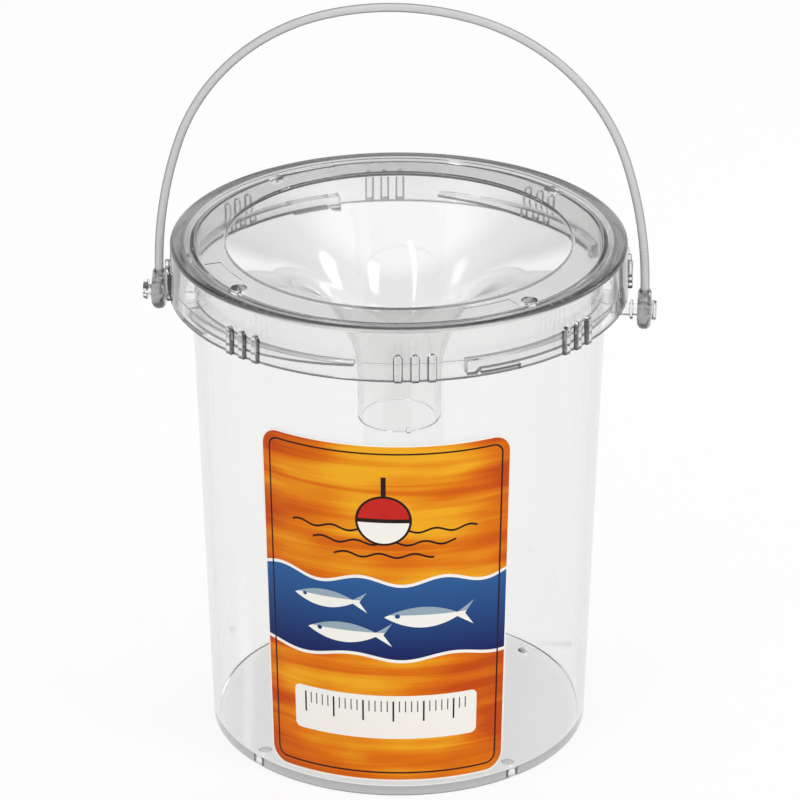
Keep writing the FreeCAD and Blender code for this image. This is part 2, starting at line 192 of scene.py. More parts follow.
def place(tree, kind, inputs=None, **settings):
    """New node in a tree, with its settings, and with its inputs set to values or linked to sockets."""
    node = tree.nodes.new(kind)
    for name, value in settings.items():
        setattr(node, name, value)
    for socket, value in (inputs or {}).items():
        if isinstance(value, bpy.types.NodeSocket):
            tree.links.new(value, node.inputs[socket])
        else:
            node.inputs[socket].default_value = value
    return node


def calc(tree, operation, first, second=0.0, third=0.0):
    """Result of a Math node on values or sockets."""
    return place(tree, "ShaderNodeMath", {0: first, 1: second, 2: third}, operation=operation).outputs[0]


def product(tree, first, *others):
    """Values or masks multiplied together."""
    for other in others:
        first = calc(tree, "MULTIPLY", first, other)
    return first


def ranged(tree, value, low=0.0, high=1.0, start=0.0, end=1.0):
    """Value carried from one range to another, and held at its ends."""
    return place(tree, "ShaderNodeMapRange", {
        "Value": value, "From Min": low, "From Max": high, "To Min": start, "To Max": end,
    }).outputs[0]


def stretched(tree, where, scale, slant=(0, 0, 0)):
    """Coordinates drawn out along some axes, and slanted."""
    return place(tree, "ShaderNodeMapping", {"Vector": where, "Rotation": slant, "Scale": scale}).outputs[0]


def noise(tree, where, detail, scale=1.0, distortion=0.0):
    """Soft noise from 0 to 1."""
    return place(tree, "ShaderNodeTexNoise", {
        "Vector": where, "Scale": scale, "Detail": detail, "Distortion": distortion,
    }).outputs[0]


def add_sockets(tree, inputs, outputs):
    """Named inputs and outputs of a node group."""
    for in_out, sockets in (("INPUT", inputs), ("OUTPUT", outputs)):
        for name, kind in sockets.items():
            tree.interface.new_socket(name, in_out=in_out, socket_type="NodeSocket" + kind)


def end_tree(tree, geometry, finish, output):
    """End a geometry tree: copies become plain mesh and get their finish."""
    whole = place(tree, "GeometryNodeRealizeInstances", {"Geometry": geometry})
    finished = place(tree, "GeometryNodeSetMaterial", {"Geometry": whole.outputs[0], "Material": finish})
    place(tree, "NodeGroupOutput", {output: finished.outputs[0]})


def copies_tree(operation):
    """Geometry tree that joins copies of a shape to a body, or cuts them out, in groups round the Z axis."""
    tree = bpy.data.node_groups.new("copies_" + operation.lower(), "GeometryNodeTree")
    add_sockets(
        tree,
        {"Body": "Geometry", "Shape": "Object", "Groups": "Int", "In Group": "Int",
         "First Angle": "Float", "Step": "Float", "Finish": "Material"},
        {"Piece": "Geometry"},
    )
    sizes = tree.nodes.new("NodeGroupInput").outputs
    points = place(tree, "GeometryNodePoints", {"Count": product(tree, sizes["Groups"], sizes["In Group"])})
    index = tree.nodes.new("GeometryNodeInputIndex").outputs[0]
    group = calc(tree, "FLOOR", calc(tree, "DIVIDE", index, sizes["In Group"]))
    group_angle = calc(tree, "DIVIDE", product(tree, group, math.tau), sizes["Groups"])
    middle = calc(tree, "DIVIDE", calc(tree, "SUBTRACT", sizes["In Group"], 1.0), 2.0)
    from_middle = calc(tree, "SUBTRACT", calc(tree, "MODULO", index, sizes["In Group"]), middle)
    offset = calc(tree, "MULTIPLY_ADD", from_middle, sizes["Step"], sizes["First Angle"])
    turn = place(tree, "FunctionNodeAxisAngleToRotation", {
        "Axis": (0, 0, 1), "Angle": calc(tree, "ADD", group_angle, offset),
    })
    shape = place(tree, "GeometryNodeObjectInfo", {"Object": sizes["Shape"]})
    copies = place(tree, "GeometryNodeInstanceOnPoints", {
        "Points": points.outputs[0], "Instance": shape.outputs["Geometry"], "Rotation": turn.outputs[0],
    })
    solid_copies = place(tree, "GeometryNodeRealizeInstances", {"Geometry": copies.outputs[0]})
    joined = place(tree, "GeometryNodeMeshBoolean", {
        "Mesh 2": solid_copies.outputs[0],
    }, operation=operation, solver="MANIFOLD")
    tree.links.new(sizes["Body"], joined.inputs["Mesh 2" if operation == "UNION" else "Mesh 1"])
    end_tree(tree, joined.outputs["Mesh"], sizes["Finish"], "Piece")
    return tree


def settle(piece):
    """Turn a piece's modifiers into its plain mesh."""
    depsgraph = bpy.context.evaluated_depsgraph_get()
    mesh = bpy.data.meshes.new_from_object(piece.evaluated_get(depsgraph))
    piece.modifiers.clear()
    piece.data = mesh


def run_tree(piece, tree, **values):
    """Run a geometry tree on a piece, with its inputs set by name, and keep the result as its mesh."""
    modifier = piece.modifiers.new(tree.name, "NODES")
    modifier.node_group = tree
    for item in tree.interface.items_tree:
        value_name = item.name.replace(" ", "_").lower()
        if item.in_out == "INPUT" and value_name in values:
            modifier[item.identifier] = values[value_name]
    settle(piece)


def smoothed(piece):
    """Shade a finished piece smooth, with its sharp edges kept and its large faces ruling the normals."""
    piece.data.shade_smooth()
    piece.data.set_sharp_from_angle(angle=SHARP_ANGLE)
    piece.modifiers.new("large_faces_rule", "WEIGHTED_NORMAL").keep_sharp = True
    settle(piece)


def with_round_edges(piece, radius):
    """Round a tool's edges before it is joined to a body."""
    bevel = piece.modifiers.new("round_edges", "BEVEL")
    bevel.width = radius
    bevel.segments = EDGE_STEPS
    bevel.angle_limit = SHARP_ANGLE
    settle(piece)


def copied_round(piece, shape, tree, finish, groups=1, first_angle=0, in_group=1, step=0.0):
    """Join or cut copies of a shape round a piece, and drop the shape."""
    run_tree(
        piece, tree, shape=shape, groups=groups, in_group=in_group, finish=finish,
        first_angle=math.radians(first_angle), step=math.radians(step),
    )
    bpy.data.objects.remove(shape)


def moulded_surface_group():
    """Shader group for clear mouldings: faint flow lines, specks of dust and hairline scuffs."""
    tree = bpy.data.node_groups.new("moulded_surface", "ShaderNodeTree")
    add_sockets(
        tree,
        {"Flow": "Float", "Specks": "Float", "Scuffs": "Float", "Polish": "Float"},
        {"Tint": "Color", "Roughness": "Float", "Height": "Float"},
    )
    amounts = tree.nodes.new("NodeGroupInput").outputs
    where = tree.nodes.new("ShaderNodeTexCoord").outputs["Object"]
    flow = noise(tree, stretched(tree, where, FLOW_SCALE), detail=2.0)
    flow_shift = product(tree, calc(tree, "SUBTRACT", flow, NOISE_MIDDLE), amounts["Flow"])
    cells = place(tree, "ShaderNodeTexVoronoi", {"Vector": where, "Scale": SPECK_SCALE}).outputs
    cell_draw = place(tree, "ShaderNodeSeparateColor", {"Color": cells["Color"]}).outputs[0]
    has_speck = calc(tree, "GREATER_THAN", cell_draw, SPECKLESS_CELLS)
    in_speck = calc(tree, "LESS_THAN", cells["Distance"], SPECK_SIZE)
    speck = product(tree, in_speck, has_speck, amounts["Specks"])
    hairs = noise(tree, stretched(tree, where, SCUFF_SCALE, SCUFF_SLANT), detail=1.0)
    scuff = product(tree, ranged(tree, hairs, *SCUFF_RANGE), amounts["Scuffs"])
    clean = calc(tree, "MULTIPLY_ADD", flow_shift, FLOW_TINT, CLEAR_TINT)
    clear = calc(tree, "SUBTRACT", clean, product(tree, speck, SPECK_TINT))
    tint = place(tree, "ShaderNodeCombineColor", {
        "Red": clear, "Green": clear, "Blue": product(tree, clear, CLEAR_BLUE),
    }).outputs[0]
    polished = calc(tree, "MULTIPLY_ADD", flow_shift, FLOW_ROUGHNESS, amounts["Polish"])
    worn = calc(tree, "MULTIPLY_ADD", scuff, SCUFF_ROUGHNESS, product(tree, speck, SPECK_ROUGHNESS))
    rough = calc(tree, "ADD", polished, worn)
    place(tree, "NodeGroupOutput", {"Tint": tint, "Roughness": rough, "Height": flow_shift})
    return tree


def grey(level):
    """Neutral colour for a socket."""
    return (level, level, level, 1.0)


def new_material(name):
    """New material, with its node tree and its main shader."""
    material = bpy.data.materials.new(name)
    material.use_nodes = True
    return material, material.node_tree, material.node_tree.nodes["Principled BSDF"]


def bumped(tree, height, strength, depth, **under):
    """Normal of a surface with a height on it."""
    return place(tree, "ShaderNodeBump", {
        "Strength": strength, "Distance": depth, "Height": height, **under,
    }).outputs[0]


def dress(tree, shader, colour, rough, normal):
    """Give a shader the colour, roughness and normal that change over its surface."""
    for socket, value in (("Base Color", colour), ("Roughness", rough), ("Normal", normal)):
        tree.links.new(value, shader.inputs[socket])


def mixed_shader(tree, share, first, second):
    """Two shaders mixed by a share of the second."""
    return place(tree, "ShaderNodeMixShader", {0: share, 1: first, 2: second}).outputs[0]


def clear_plastic(name, density, leak, flow=1.0, specks=0.6, scuffs=0.5, polish=0.012):
    """Clear moulded plastic that greys with depth. Light caught in it leaks out, dimmed, after two turns."""
    material, tree, shader = new_material(name)
    surface = place(tree, "ShaderNodeGroup", {
        "Flow": flow, "Specks": specks, "Scuffs": scuffs, "Polish": polish,
    }, node_tree=moulded_surface).outputs
    waves = bumped(tree, surface["Height"], FLOW_BUMP, FLOW_DEPTH)
    dress(tree, shader, surface["Tint"], surface["Roughness"], waves)
    shader.inputs["IOR"].default_value = PLASTIC_IOR
    shader.inputs["Transmission Weight"].default_value = 1.0
    rays = tree.nodes.new("ShaderNodeLightPath").outputs
    unbent, leaked = (
        place(tree, "ShaderNodeBsdfTransparent", {"Color": grey(share)}).outputs[0]
        for share in (PLASTIC_SHADOW, leak)
    )
    caught = calc(tree, "GREATER_THAN", rays["Glossy Depth"], TURNS_BEFORE_LEAK)
    lights_others = calc(tree, "MAXIMUM", rays["Is Shadow Ray"], rays["Is Diffuse Ray"])
    looked_into = mixed_shader(tree, caught, shader.outputs[0], leaked)
    lit_through = mixed_shader(tree, lights_others, looked_into, unbent)
    depth = place(tree, "ShaderNodeVolumeAbsorption", {"Color": PLASTIC_GREY, "Density": density})
    tree.links.new(lit_through, tree.nodes["Material Output"].inputs["Surface"])
    tree.links.new(depth.outputs[0], tree.nodes["Material Output"].inputs["Volume"])
    return material


def finish_piece(piece, body, node):
    """Put a finished piece on its body in place of its plain solid."""
    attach(piece, body)
    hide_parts(node)


moulded_surface = moulded_surface_group()
join_copies = copies_tree("UNION")
cut_copies = copies_tree("DIFFERENCE")
jar_clear = clear_plastic("jar_clear", density=28.0, leak=0.85)

rim = JAR_HEIGHT - RIM_TO_FUNNEL
jar = turned("jar_tub", [
    (0, 0, 0),
    (JAR_BASE_RADIUS, 0, JAR_CORNER),
    (JAR_RIM_RADIUS, rim, RIM_ROUND),
    (JAR_RIM_RADIUS - JAR_WALL, rim, RIM_ROUND),
    (jar_radius(JAR_FLOOR) - JAR_WALL, JAR_FLOOR, JAR_INNER_CORNER),
    (0, JAR_FLOOR, 0),
])

rail_top = RAIL_BOTTOM + RAIL_THICKNESS
rail_radius = jar_radius(rail_top) + RAIL_REACH
rail_root = jar_radius(RAIL_BOTTOM) - JAR_WALL / 2
rail_sections = []
for step in range(RAIL_STEPS + 1):
    angle = RAIL_SWEEP * step / RAIL_STEPS
    into_ramp = max(0, angle - (RAIL_SWEEP - RAMP_SWEEP)) / RAMP_SWEEP
    low = RAIL_BOTTOM + RAMP_RISE * into_ramp
    if angle < STOP_SWEEP:
        low = RAIL_BOTTOM - STOP_DROP
    rail_sections.append((angle, rail_root, rail_radius, low, rail_top))
rail = sector_block("rail", rail_sections)
with_round_edges(rail, RAIL_ROUND)
copied_round(jar, rail, join_copies, jar_clear, RAIL_COUNT, RAIL_START)

hole_circle = jar_radius(JAR_FLOOR) - JAR_WALL - WATER_HOLE_INSET - WATER_HOLE_RADIUS
water_hole = drill("water_hole", WATER_HOLE_RADIUS, (0, -hole_circle), -CUT_PAST, JAR_FLOOR + CUT_PAST)
copied_round(jar, water_hole, cut_copies, jar_clear, WATER_HOLE_COUNT, WATER_HOLE_ANGLE)

to_pivot = Matrix.Translation((0, 0, PIVOT_HEIGHT)) @ Matrix.Rotation(math.pi / 2, 4, "Y")
past_wall = JAR_RIM_RADIUS + CUT_PAST
pin_hole = drill("pin_hole", PIN_HOLE_RADIUS, (0, 0), -past_wall, past_wall)
pin_hole.data.transform(to_pivot)
copied_round(jar, pin_hole, cut_copies, jar_clear)
smoothed(jar)
finish_piece(jar, "jar", "jar")

# Funnel: a thin clear moulding that lies on the jar's rim, with a flat ledge and a horn that curves down to a
# short neck, to lead fish in. Four round vents go through the ledge. Four shallow pads are left where it was
# pushed out of its mould, and a nub of the sprue is left on the neck's lower end.
LID_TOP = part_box("funnel")[1].z
NECK_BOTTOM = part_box("funnel")[0].z
DISC_RADIUS = 68.46 * MM
FLANGE_RADIUS = 70.46 * MM
FLANGE_THICKNESS = 1.1 * MM
LEDGE_WIDTH = 12.4 * MM
MOUTH_STEP = 0.8 * MM
MOUTH_ROUND = 0.4 * MM
HORN_SLOPE = math.radians(22)
HORN_ROUND = 49.0 * MM
UNDERSIDE_BLEND = 1.5 * MM
FUNNEL_WALL = 1.7 * MM
NECK_BORE_RADIUS = 12.2 * MM
FUNNEL_EDGE_ROUND = 0.3 * MM
VENT_COUNT = 4
VENT_ANGLE = 45
VENT_RADIUS = 2.65 * MM
VENT_INSET = 0.75 * MM
PAD_COUNT = 4
PAD_ANGLE = 25.7
PAD_SWEEP = 15
PAD_WIDTH = 5.5 * MM
PAD_INSET = 2.4 * MM
PAD_DEPTH = 0.25 * MM
NUB_ANGLE = 19.8
NUB_RADIUS = 1.1 * MM
NUB_DROP = 0.7 * MM
NUB_FACETS = 24

funnel_clear = clear_plastic("funnel_clear", density=18.0, leak=0.72, polish=0.05)
mouth_radius = DISC_RADIUS - LEDGE_WIDTH
neck_outer = NECK_BORE_RADIUS + FUNNEL_WALL
horn_top = LID_TOP - MOUTH_STEP
wall_drop = FUNNEL_WALL / math.cos(HORN_SLOPE)
inner_bend = horn_top - (mouth_radius - NECK_BORE_RADIUS) * math.tan(HORN_SLOPE)
outer_bend = inner_bend + FUNNEL_WALL * math.tan(HORN_SLOPE) - wall_drop
under_disc = mouth_radius + (JAR_HEIGHT + wall_drop - horn_top) / math.tan(HORN_SLOPE)
flange_top = JAR_HEIGHT + FLANGE_THICKNESS
funnel = turned("funnel_horn", [
    (DISC_RADIUS, LID_TOP, FUNNEL_EDGE_ROUND),
    (mouth_radius, LID_TOP, MOUTH_ROUND),
    (mouth_radius, horn_top, 0),
    (NECK_BORE_RADIUS, inner_bend, HORN_ROUND),
    (NECK_BORE_RADIUS, NECK_BOTTOM, FUNNEL_EDGE_ROUND),
    (neck_outer, NECK_BOTTOM, FUNNEL_EDGE_ROUND),
    (neck_outer, outer_bend, HORN_ROUND - FUNNEL_WALL),
    (under_disc, JAR_HEIGHT, UNDERSIDE_BLEND),
    (FLANGE_RADIUS, JAR_HEIGHT, FUNNEL_EDGE_ROUND),
    (FLANGE_RADIUS, flange_top, FUNNEL_EDGE_ROUND),
    (DISC_RADIUS, flange_top, 0),
])
vent_circle = DISC_RADIUS - VENT_INSET - VENT_RADIUS
vent = drill("vent", VENT_RADIUS, (0, -vent_circle), JAR_HEIGHT - CUT_PAST, LID_TOP + CUT_PAST)
copied_round(funnel, vent, cut_copies, funnel_clear, VENT_COUNT, VENT_ANGLE)
pad_outer = DISC_RADIUS - PAD_INSET
pad = sector_block("pad", [
    (angle, pad_outer - PAD_WIDTH, pad_outer, LID_TOP - PAD_DEPTH, LID_TOP + CUT_PAST)
    for angle in range(PAD_SWEEP + 1)
])
copied_round(funnel, pad, cut_copies, funnel_clear, PAD_COUNT, PAD_ANGLE)
nub_low = NECK_BOTTOM - NUB_DROP
nub_top = NECK_BOTTOM + NUB_RADIUS
nub = turned("sprue_nub", [
    (0, nub_low, 0),
    (NUB_RADIUS, nub_low, NUB_DROP),
    (NUB_RADIUS, nub_top, 0),
    (0, nub_top, 0),
], NUB_FACETS)
nub.data.transform(Matrix.Translation((0, -NECK_BORE_RADIUS - FUNNEL_WALL / 2, 0)))
copied_round(funnel, nub, join_copies, funnel_clear, first_angle=NUB_ANGLE)
smoothed(funnel)
finish_piece(funnel, "jar", "funnel")

# Bayonet ring: the clear moulded ring that holds the funnel down. Its lip reaches over the funnel's edge and
# its skirt goes down outside the jar's rails. Eight groups of three ribs give a grip, with painted shade in
# thin dark lines beside and under them, and four lugs inside slide under the rails.
RING_RADIUS = 74.06 * MM
SKIRT_INNER_RADIUS = 71.46 * MM
STEP_RADIUS = 70.76 * MM
STEP_HEIGHT = 159.8 * MM
SKIRT_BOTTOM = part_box("lid_ring")[0].z
SKIRT_FLARE = 0.55 * MM
LIP_RADIUS = 69.56 * MM
LIP_THICKNESS = 1.15 * MM
SHOULDER_ROUND = 1.3 * MM
RING_EDGE_ROUND = 0.3 * MM
RIB_GROUPS = 8
RIBS_IN_GROUP = 3
RIB_GROUP_ANGLE = 9.85
RIB_STEP = 4.1
RIB_WIDTH = 2.3 * MM
RIB_HEIGHT = 9.6 * MM
RIB_PROUD = 1.3 * MM
RIB_ROUND = 0.5 * MM
RIB_ROUND_STEPS = 4
RIB_LIFT = 0.15 * MM
# Width and tone of the painted shade: thin dark lines along the ribs' flanks and under their feet.
RIB_SHADE_LINE = 0.5 * MM
RIB_SHADE_TONE = 0.03
# Grey of the painted shade on the ring's top edge; the scuff value only makes that edge rougher.
TOP_EDGE_SHADE = (0.62, 0.62, 0.61, 1.0)
TOP_EDGE_SCUFF = 0.22
LUG_ANGLE = 26.67
LUG_SWEEP = 11
LUG_HEIGHT = 1.1 * MM
LUG_LIFT = 0.1 * MM
LUG_TO_JAR = 0.6 * MM


def layer(tree, under, mask, over, blend="MIX"):
    """Lay a colour over another one where a mask is set."""
    return place(tree, "ShaderNodeMix", {
        "Factor": mask, 6: under, 7: over,
    }, data_type="RGBA", blend_type=blend).outputs[2]


def split(tree, vector):
    """The X, Y and Z of a vector."""
    return place(tree, "ShaderNodeSeparateXYZ", {"Vector": vector}).outputs


def off_by(tree, value, target):
    """How far a value is from a target, to either side."""
    return calc(tree, "ABSOLUTE", calc(tree, "SUBTRACT", value, target))


def sum_of_squares(tree, first, second):
    """Square of the distance that two offsets make."""
    return calc(tree, "MULTIPLY_ADD", first, first, product(tree, second, second))


def ring_shade_and_scuffs(material):
    """Paint shade on a clear ring: dark lines beside and under its ribs, and a grey top edge that is also
    scuffed.
    """
    tree = material.node_tree
    shader = tree.nodes["Principled BSDF"]
    clean = shader.inputs["Base Color"].links[0].from_socket
    polish = shader.inputs["Roughness"].links[0].from_socket
    where = split(tree, tree.nodes.new("ShaderNodeTexCoord").outputs["Object"])
    # Painted shade: a dark tint in thin lines beside and under each rib, in place of the dark edges that
    # clear ribs refract.
    spacing = math.tau / RIB_GROUPS
    step = math.radians(RIB_STEP)
    angle = calc(tree, "ARCTAN2", where["X"], product(tree, where["Y"], -1.0))
    from_first = calc(tree, "ADD", angle, spacing / 2 - math.radians(RIB_GROUP_ANGLE) + math.tau)
    in_group = calc(tree, "SUBTRACT", calc(tree, "MODULO", from_first, spacing), spacing / 2)
    nearest = product(tree, calc(tree, "ROUND", calc(tree, "DIVIDE", in_group, step)), step)
    off_flank = off_by(tree, off_by(tree, in_group, nearest), RIB_WIDTH / 2 / RING_RADIUS)
    on_flank = ranged(tree, off_flank, RIB_SHADE_LINE / 2 / RING_RADIUS, RIB_SHADE_LINE / RING_RADIUS, 1.0, 0.0)
    a_rib = calc(tree, "LESS_THAN", calc(tree, "ABSOLUTE", in_group), step * RIBS_IN_GROUP / 2)
    low_enough = calc(tree, "LESS_THAN", where["Z"], SKIRT_BOTTOM + RIB_HEIGHT - RIB_WIDTH / 2)
    across = calc(tree, "SQRT", sum_of_squares(tree, where["X"], where["Y"]))
    half_flare = SKIRT_FLARE / 2
    skirt_face = calc(tree, "COMPARE", across, RING_RADIUS + half_flare, half_flare + RIB_SHADE_LINE / 4)
    beside = product(tree, on_flank, low_enough, skirt_face)
    rib_foot = calc(tree, "LESS_THAN", where["Z"], SKIRT_BOTTOM + RIB_LIFT + RIB_SHADE_LINE)
    rib_face = calc(tree, "GREATER_THAN", across, RING_RADIUS + SKIRT_FLARE + RIB_SHADE_LINE / 2)
    under = product(tree, rib_foot, rib_face)
    rib_shade = product(tree, calc(tree, "MAXIMUM", beside, under), a_rib)
    # Painted shade: the top edge is tinted grey to darken it; its scuffs add roughness only.
    top_edge = ranged(tree, where["Z"], LID_TOP - SHOULDER_ROUND, LID_TOP - SHOULDER_ROUND / 2)
    rib_shaded = layer(tree, clean, rib_shade, grey(RIB_SHADE_TONE))
    greyed = layer(tree, rib_shaded, top_edge, TOP_EDGE_SHADE, "MULTIPLY")
    scuffed = calc(tree, "MULTIPLY_ADD", top_edge, TOP_EDGE_SCUFF, polish)
    tree.links.new(greyed, shader.inputs["Base Color"])
    tree.links.new(scuffed, shader.inputs["Roughness"])


def arc(centre, radius, start, end, steps):
    """Points (across, up) along an arc from one angle to another."""
    angles = [start + (end - start) * step / steps for step in range(steps + 1)]
    return [
        (centre[0] + radius * math.cos(angle), centre[1] + radius * math.sin(angle)) for angle in angles
    ]


def pushed(outline, push):
    """Shape made by pushing a flat outline along, and the corners of its far face."""
    shape = bmesh.new()
    near_face = shape.faces.new([shape.verts.new(point) for point in outline])
    moved = bmesh.ops.extrude_face_region(shape, geom=[near_face], use_keep_orig=True)["geom"]
    far_corners = [item for item in moved if isinstance(item, bmesh.types.BMVert)]
    bmesh.ops.translate(shape, verts=far_corners, vec=push)
    return shape, far_corners


def round_off(shape, edges, radius, steps):
    """Round some edges of a shape."""
    bmesh.ops.bevel(shape, geom=edges, offset=radius, segments=steps, profile=0.5, affect="EDGES")


ring_clear = clear_plastic("ring_clear", density=35.0, leak=0.5)
ring_shade_and_scuffs(ring_clear)
lip_bottom = LID_TOP - LIP_THICKNESS
ring = turned("bayonet_ring", [
    (LIP_RADIUS, LID_TOP, RING_EDGE_ROUND),
    (RING_RADIUS, LID_TOP, SHOULDER_ROUND),
    (RING_RADIUS + SKIRT_FLARE, SKIRT_BOTTOM, RING_EDGE_ROUND),
    (SKIRT_INNER_RADIUS, SKIRT_BOTTOM, RING_EDGE_ROUND),
    (SKIRT_INNER_RADIUS, STEP_HEIGHT, 0),
    (STEP_RADIUS, STEP_HEIGHT, RING_EDGE_ROUND),
    (STEP_RADIUS, lip_bottom, RING_EDGE_ROUND),
    (LIP_RADIUS, lip_bottom, RING_EDGE_ROUND),
])

in_skirt = (SKIRT_INNER_RADIUS + RING_RADIUS) / 2
half_rib = RIB_WIDTH / 2
rib_low = SKIRT_BOTTOM + RIB_LIFT
rib_outline = [(-half_rib, rib_low), (half_rib, rib_low)]
rib_outline += arc((0, SKIRT_BOTTOM + RIB_HEIGHT - half_rib), half_rib, 0, math.pi, 2 * ARC_STEPS)
rib_shape, rib_front = pushed(
    [(across, -in_skirt, up) for across, up in rib_outline],
    (0, in_skirt - (RING_RADIUS + SKIRT_FLARE + RIB_PROUD), 0),
)
front_edges = [edge for edge in rib_shape.edges if all(vert in rib_front for vert in edge.verts)]
round_off(rib_shape, front_edges, RIB_ROUND, RIB_ROUND_STEPS)
rib = new_piece("grip_rib", rib_shape)
copied_round(ring, rib, join_copies, ring_clear, RIB_GROUPS, RIB_GROUP_ANGLE, RIBS_IN_GROUP, RIB_STEP)

lug_low = SKIRT_BOTTOM + LUG_LIFT
lug_top = SKIRT_BOTTOM + LUG_HEIGHT
lug_inner = jar_radius(lug_top) + LUG_TO_JAR
lug = sector_block("lug", [(angle, lug_inner, in_skirt, lug_low, lug_top) for angle in range(LUG_SWEEP + 1)])
with_round_edges(lug, RAIL_ROUND)
copied_round(ring, lug, join_copies, ring_clear, RAIL_COUNT, LUG_ANGLE)
smoothed(ring)
finish_piece(ring, "ring", "lid_ring")

# Pivot pins: short clear moulded pins that carry the bail. Each is staked through the jar's wall, and has a
# collar, a journal for the eye and a split head that snaps through it.
STAKE_RADIUS = 2.8 * MM
STAKE_THICKNESS = 1.0 * MM
ROOT_RADIUS = 1.6 * MM
SHAFT_RADIUS = 2.1 * MM
SEAT_GAP = 0.2 * MM
COLLAR_FACE = 76.26 * MM
COLLAR_RADIUS = 3.3 * MM
COLLAR_THICKNESS = 1.0 * MM
JOURNAL_RADIUS = 2.0 * MM
HEAD_FACE = 82.26 * MM
HEAD_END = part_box("pivot_pin_right")[1].x
HEAD_RADIUS = 3.45 * MM
HEAD_TAPER = 0.3 * MM
PIN_ROUND = 0.3 * MM
HEAD_SLOT = 1.0 * MM
HEAD_SLOT_DEPTH = 2.4 * MM
SLOT_TURNS = {"right": math.pi / 2, "left": 0.0}
PIN_FACETS = 48


def square_bar(name, low, high):
    """Box between two corners."""
    shape = bmesh.new()
    middle = Matrix.Translation((Vector(low) + Vector(high)) / 2)
    sides = Matrix.Diagonal((*(Vector(high) - Vector(low)), 1))
    bmesh.ops.create_cube(shape, size=1, matrix=middle @ sides)
    return new_piece(name, shape)


pin_clear = clear_plastic("pin_clear", density=25.0, leak=0.7, specks=0.0, polish=0.03)
half_turn = Matrix.Rotation(math.pi, 4, "Z")
wall_at_pivot = jar_radius(PIVOT_HEIGHT)
stake_face = wall_at_pivot - JAR_WALL - SEAT_GAP
shaft_start = wall_at_pivot + SEAT_GAP
for side, slot_turn in SLOT_TURNS.items():
    pin = turned("pin_" + side, [
        (0, stake_face - STAKE_THICKNESS, 0),
        (STAKE_RADIUS, stake_face - STAKE_THICKNESS, PIN_ROUND),
        (STAKE_RADIUS, stake_face, PIN_ROUND),
        (ROOT_RADIUS, stake_face, 0),
        (ROOT_RADIUS, shaft_start, 0),
        (SHAFT_RADIUS, shaft_start, PIN_ROUND / 2),
        (SHAFT_RADIUS, COLLAR_FACE - COLLAR_THICKNESS, PIN_ROUND),
        (COLLAR_RADIUS, COLLAR_FACE - COLLAR_THICKNESS, PIN_ROUND),
        (COLLAR_RADIUS, COLLAR_FACE, PIN_ROUND),
        (JOURNAL_RADIUS, COLLAR_FACE, 0),
        (JOURNAL_RADIUS, HEAD_FACE, 0),
        (HEAD_RADIUS, HEAD_FACE, PIN_ROUND),
        (HEAD_RADIUS - HEAD_TAPER, HEAD_END, PIN_ROUND),
        (0, HEAD_END, 0),
    ], PIN_FACETS)
    pin.data.transform(to_pivot)
    head_slot = square_bar(
        "head_slot",
        (HEAD_FACE - HEAD_SLOT_DEPTH, -HEAD_RADIUS - CUT_PAST, -HEAD_SLOT / 2),
        (HEAD_END + CUT_PAST, HEAD_RADIUS + CUT_PAST, HEAD_SLOT / 2),
    )
    turned_slot = Matrix.Translation((0, 0, PIVOT_HEIGHT)) @ Matrix.Rotation(slot_turn, 4, "X")
    head_slot.data.transform(turned_slot)
    copied_round(pin, head_slot, cut_copies, pin_clear)
    smoothed(pin)
    if side == "left":
        pin.data.transform(half_turn)
    finish_piece(pin, "jar", "pivot_pin_" + side)

# Bail eyes: drop-shaped tabs of cloudy clear plastic that turn on the pins. Each is moulded with a bore for
# its pin and with a socket, in its narrow end, for the rod.
BAIL_SHIFT = 0.65 * MM
EYE_INNER_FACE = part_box("bail_eye_right")[0].x - BAIL_SHIFT
EYE_THICKNESS = 4.4 * MM
EYE_RADIUS = 6.3 * MM
EYE_NECK_RADIUS = 2.4 * MM
EYE_TOP = 8.0 * MM
EYE_ROUND = 2.0 * MM
EYE_ROUND_STEPS = 8
EYE_BORE_RADIUS = 2.05 * MM
ROD_SOCKET_RADIUS = 1.5 * MM
ROD_SOCKET_DEPTH = 4.0 * MM
EYE_ARC_STEPS = 40

eye_clear = clear_plastic("eye_clear", density=130.0, leak=0.6, specks=0.0, polish=0.22)
eye_neck = EYE_TOP - EYE_NECK_RADIUS
lean = math.asin((EYE_RADIUS - EYE_NECK_RADIUS) / eye_neck)
drop = arc((0, 0), EYE_RADIUS, math.pi - lean, math.tau + lean, EYE_ARC_STEPS)
drop += arc((0, eye_neck), EYE_NECK_RADIUS, lean, math.pi - lean, 2 * ARC_STEPS)
tab, _ = pushed(
    [(EYE_INNER_FACE, along, PIVOT_HEIGHT + up) for along, up in drop], (EYE_THICKNESS, 0, 0),
)
rim_edges = [
    edge for edge in tab.edges if abs(edge.verts[0].co.x - edge.verts[1].co.x) < EYE_THICKNESS / 2
]
round_off(tab, rim_edges, EYE_ROUND, EYE_ROUND_STEPS)
eye_right = new_piece("eye_right", tab)

eye_outer_face = EYE_INNER_FACE + EYE_THICKNESS
bore = drill("bore", EYE_BORE_RADIUS, (0, 0), EYE_INNER_FACE - CUT_PAST, eye_outer_face + CUT_PAST)
bore.data.transform(to_pivot)
copied_round(eye_right, bore, cut_copies, eye_clear)
eye_centre = EYE_INNER_FACE + EYE_THICKNESS / 2
eye_top = PIVOT_HEIGHT + EYE_TOP
socket_floor = eye_top - ROD_SOCKET_DEPTH
rod_socket = drill("rod_socket", ROD_SOCKET_RADIUS, (eye_centre, 0), socket_floor, eye_top + CUT_PAST)
copied_round(eye_right, rod_socket, cut_copies, eye_clear)
smoothed(eye_right)

as_bail_lies = Matrix.Translation((BAIL_SHIFT, 0, 0))
eye_left = put_in_scene("eye_left", eye_right.data.copy())
eye_left.data.transform(half_turn)
for eye, node in ((eye_right, "bail_eye_right"), (eye_left, "bail_eye_left")):
    eye.data.transform(as_bail_lies)
    finish_piece(eye, "bail", node)

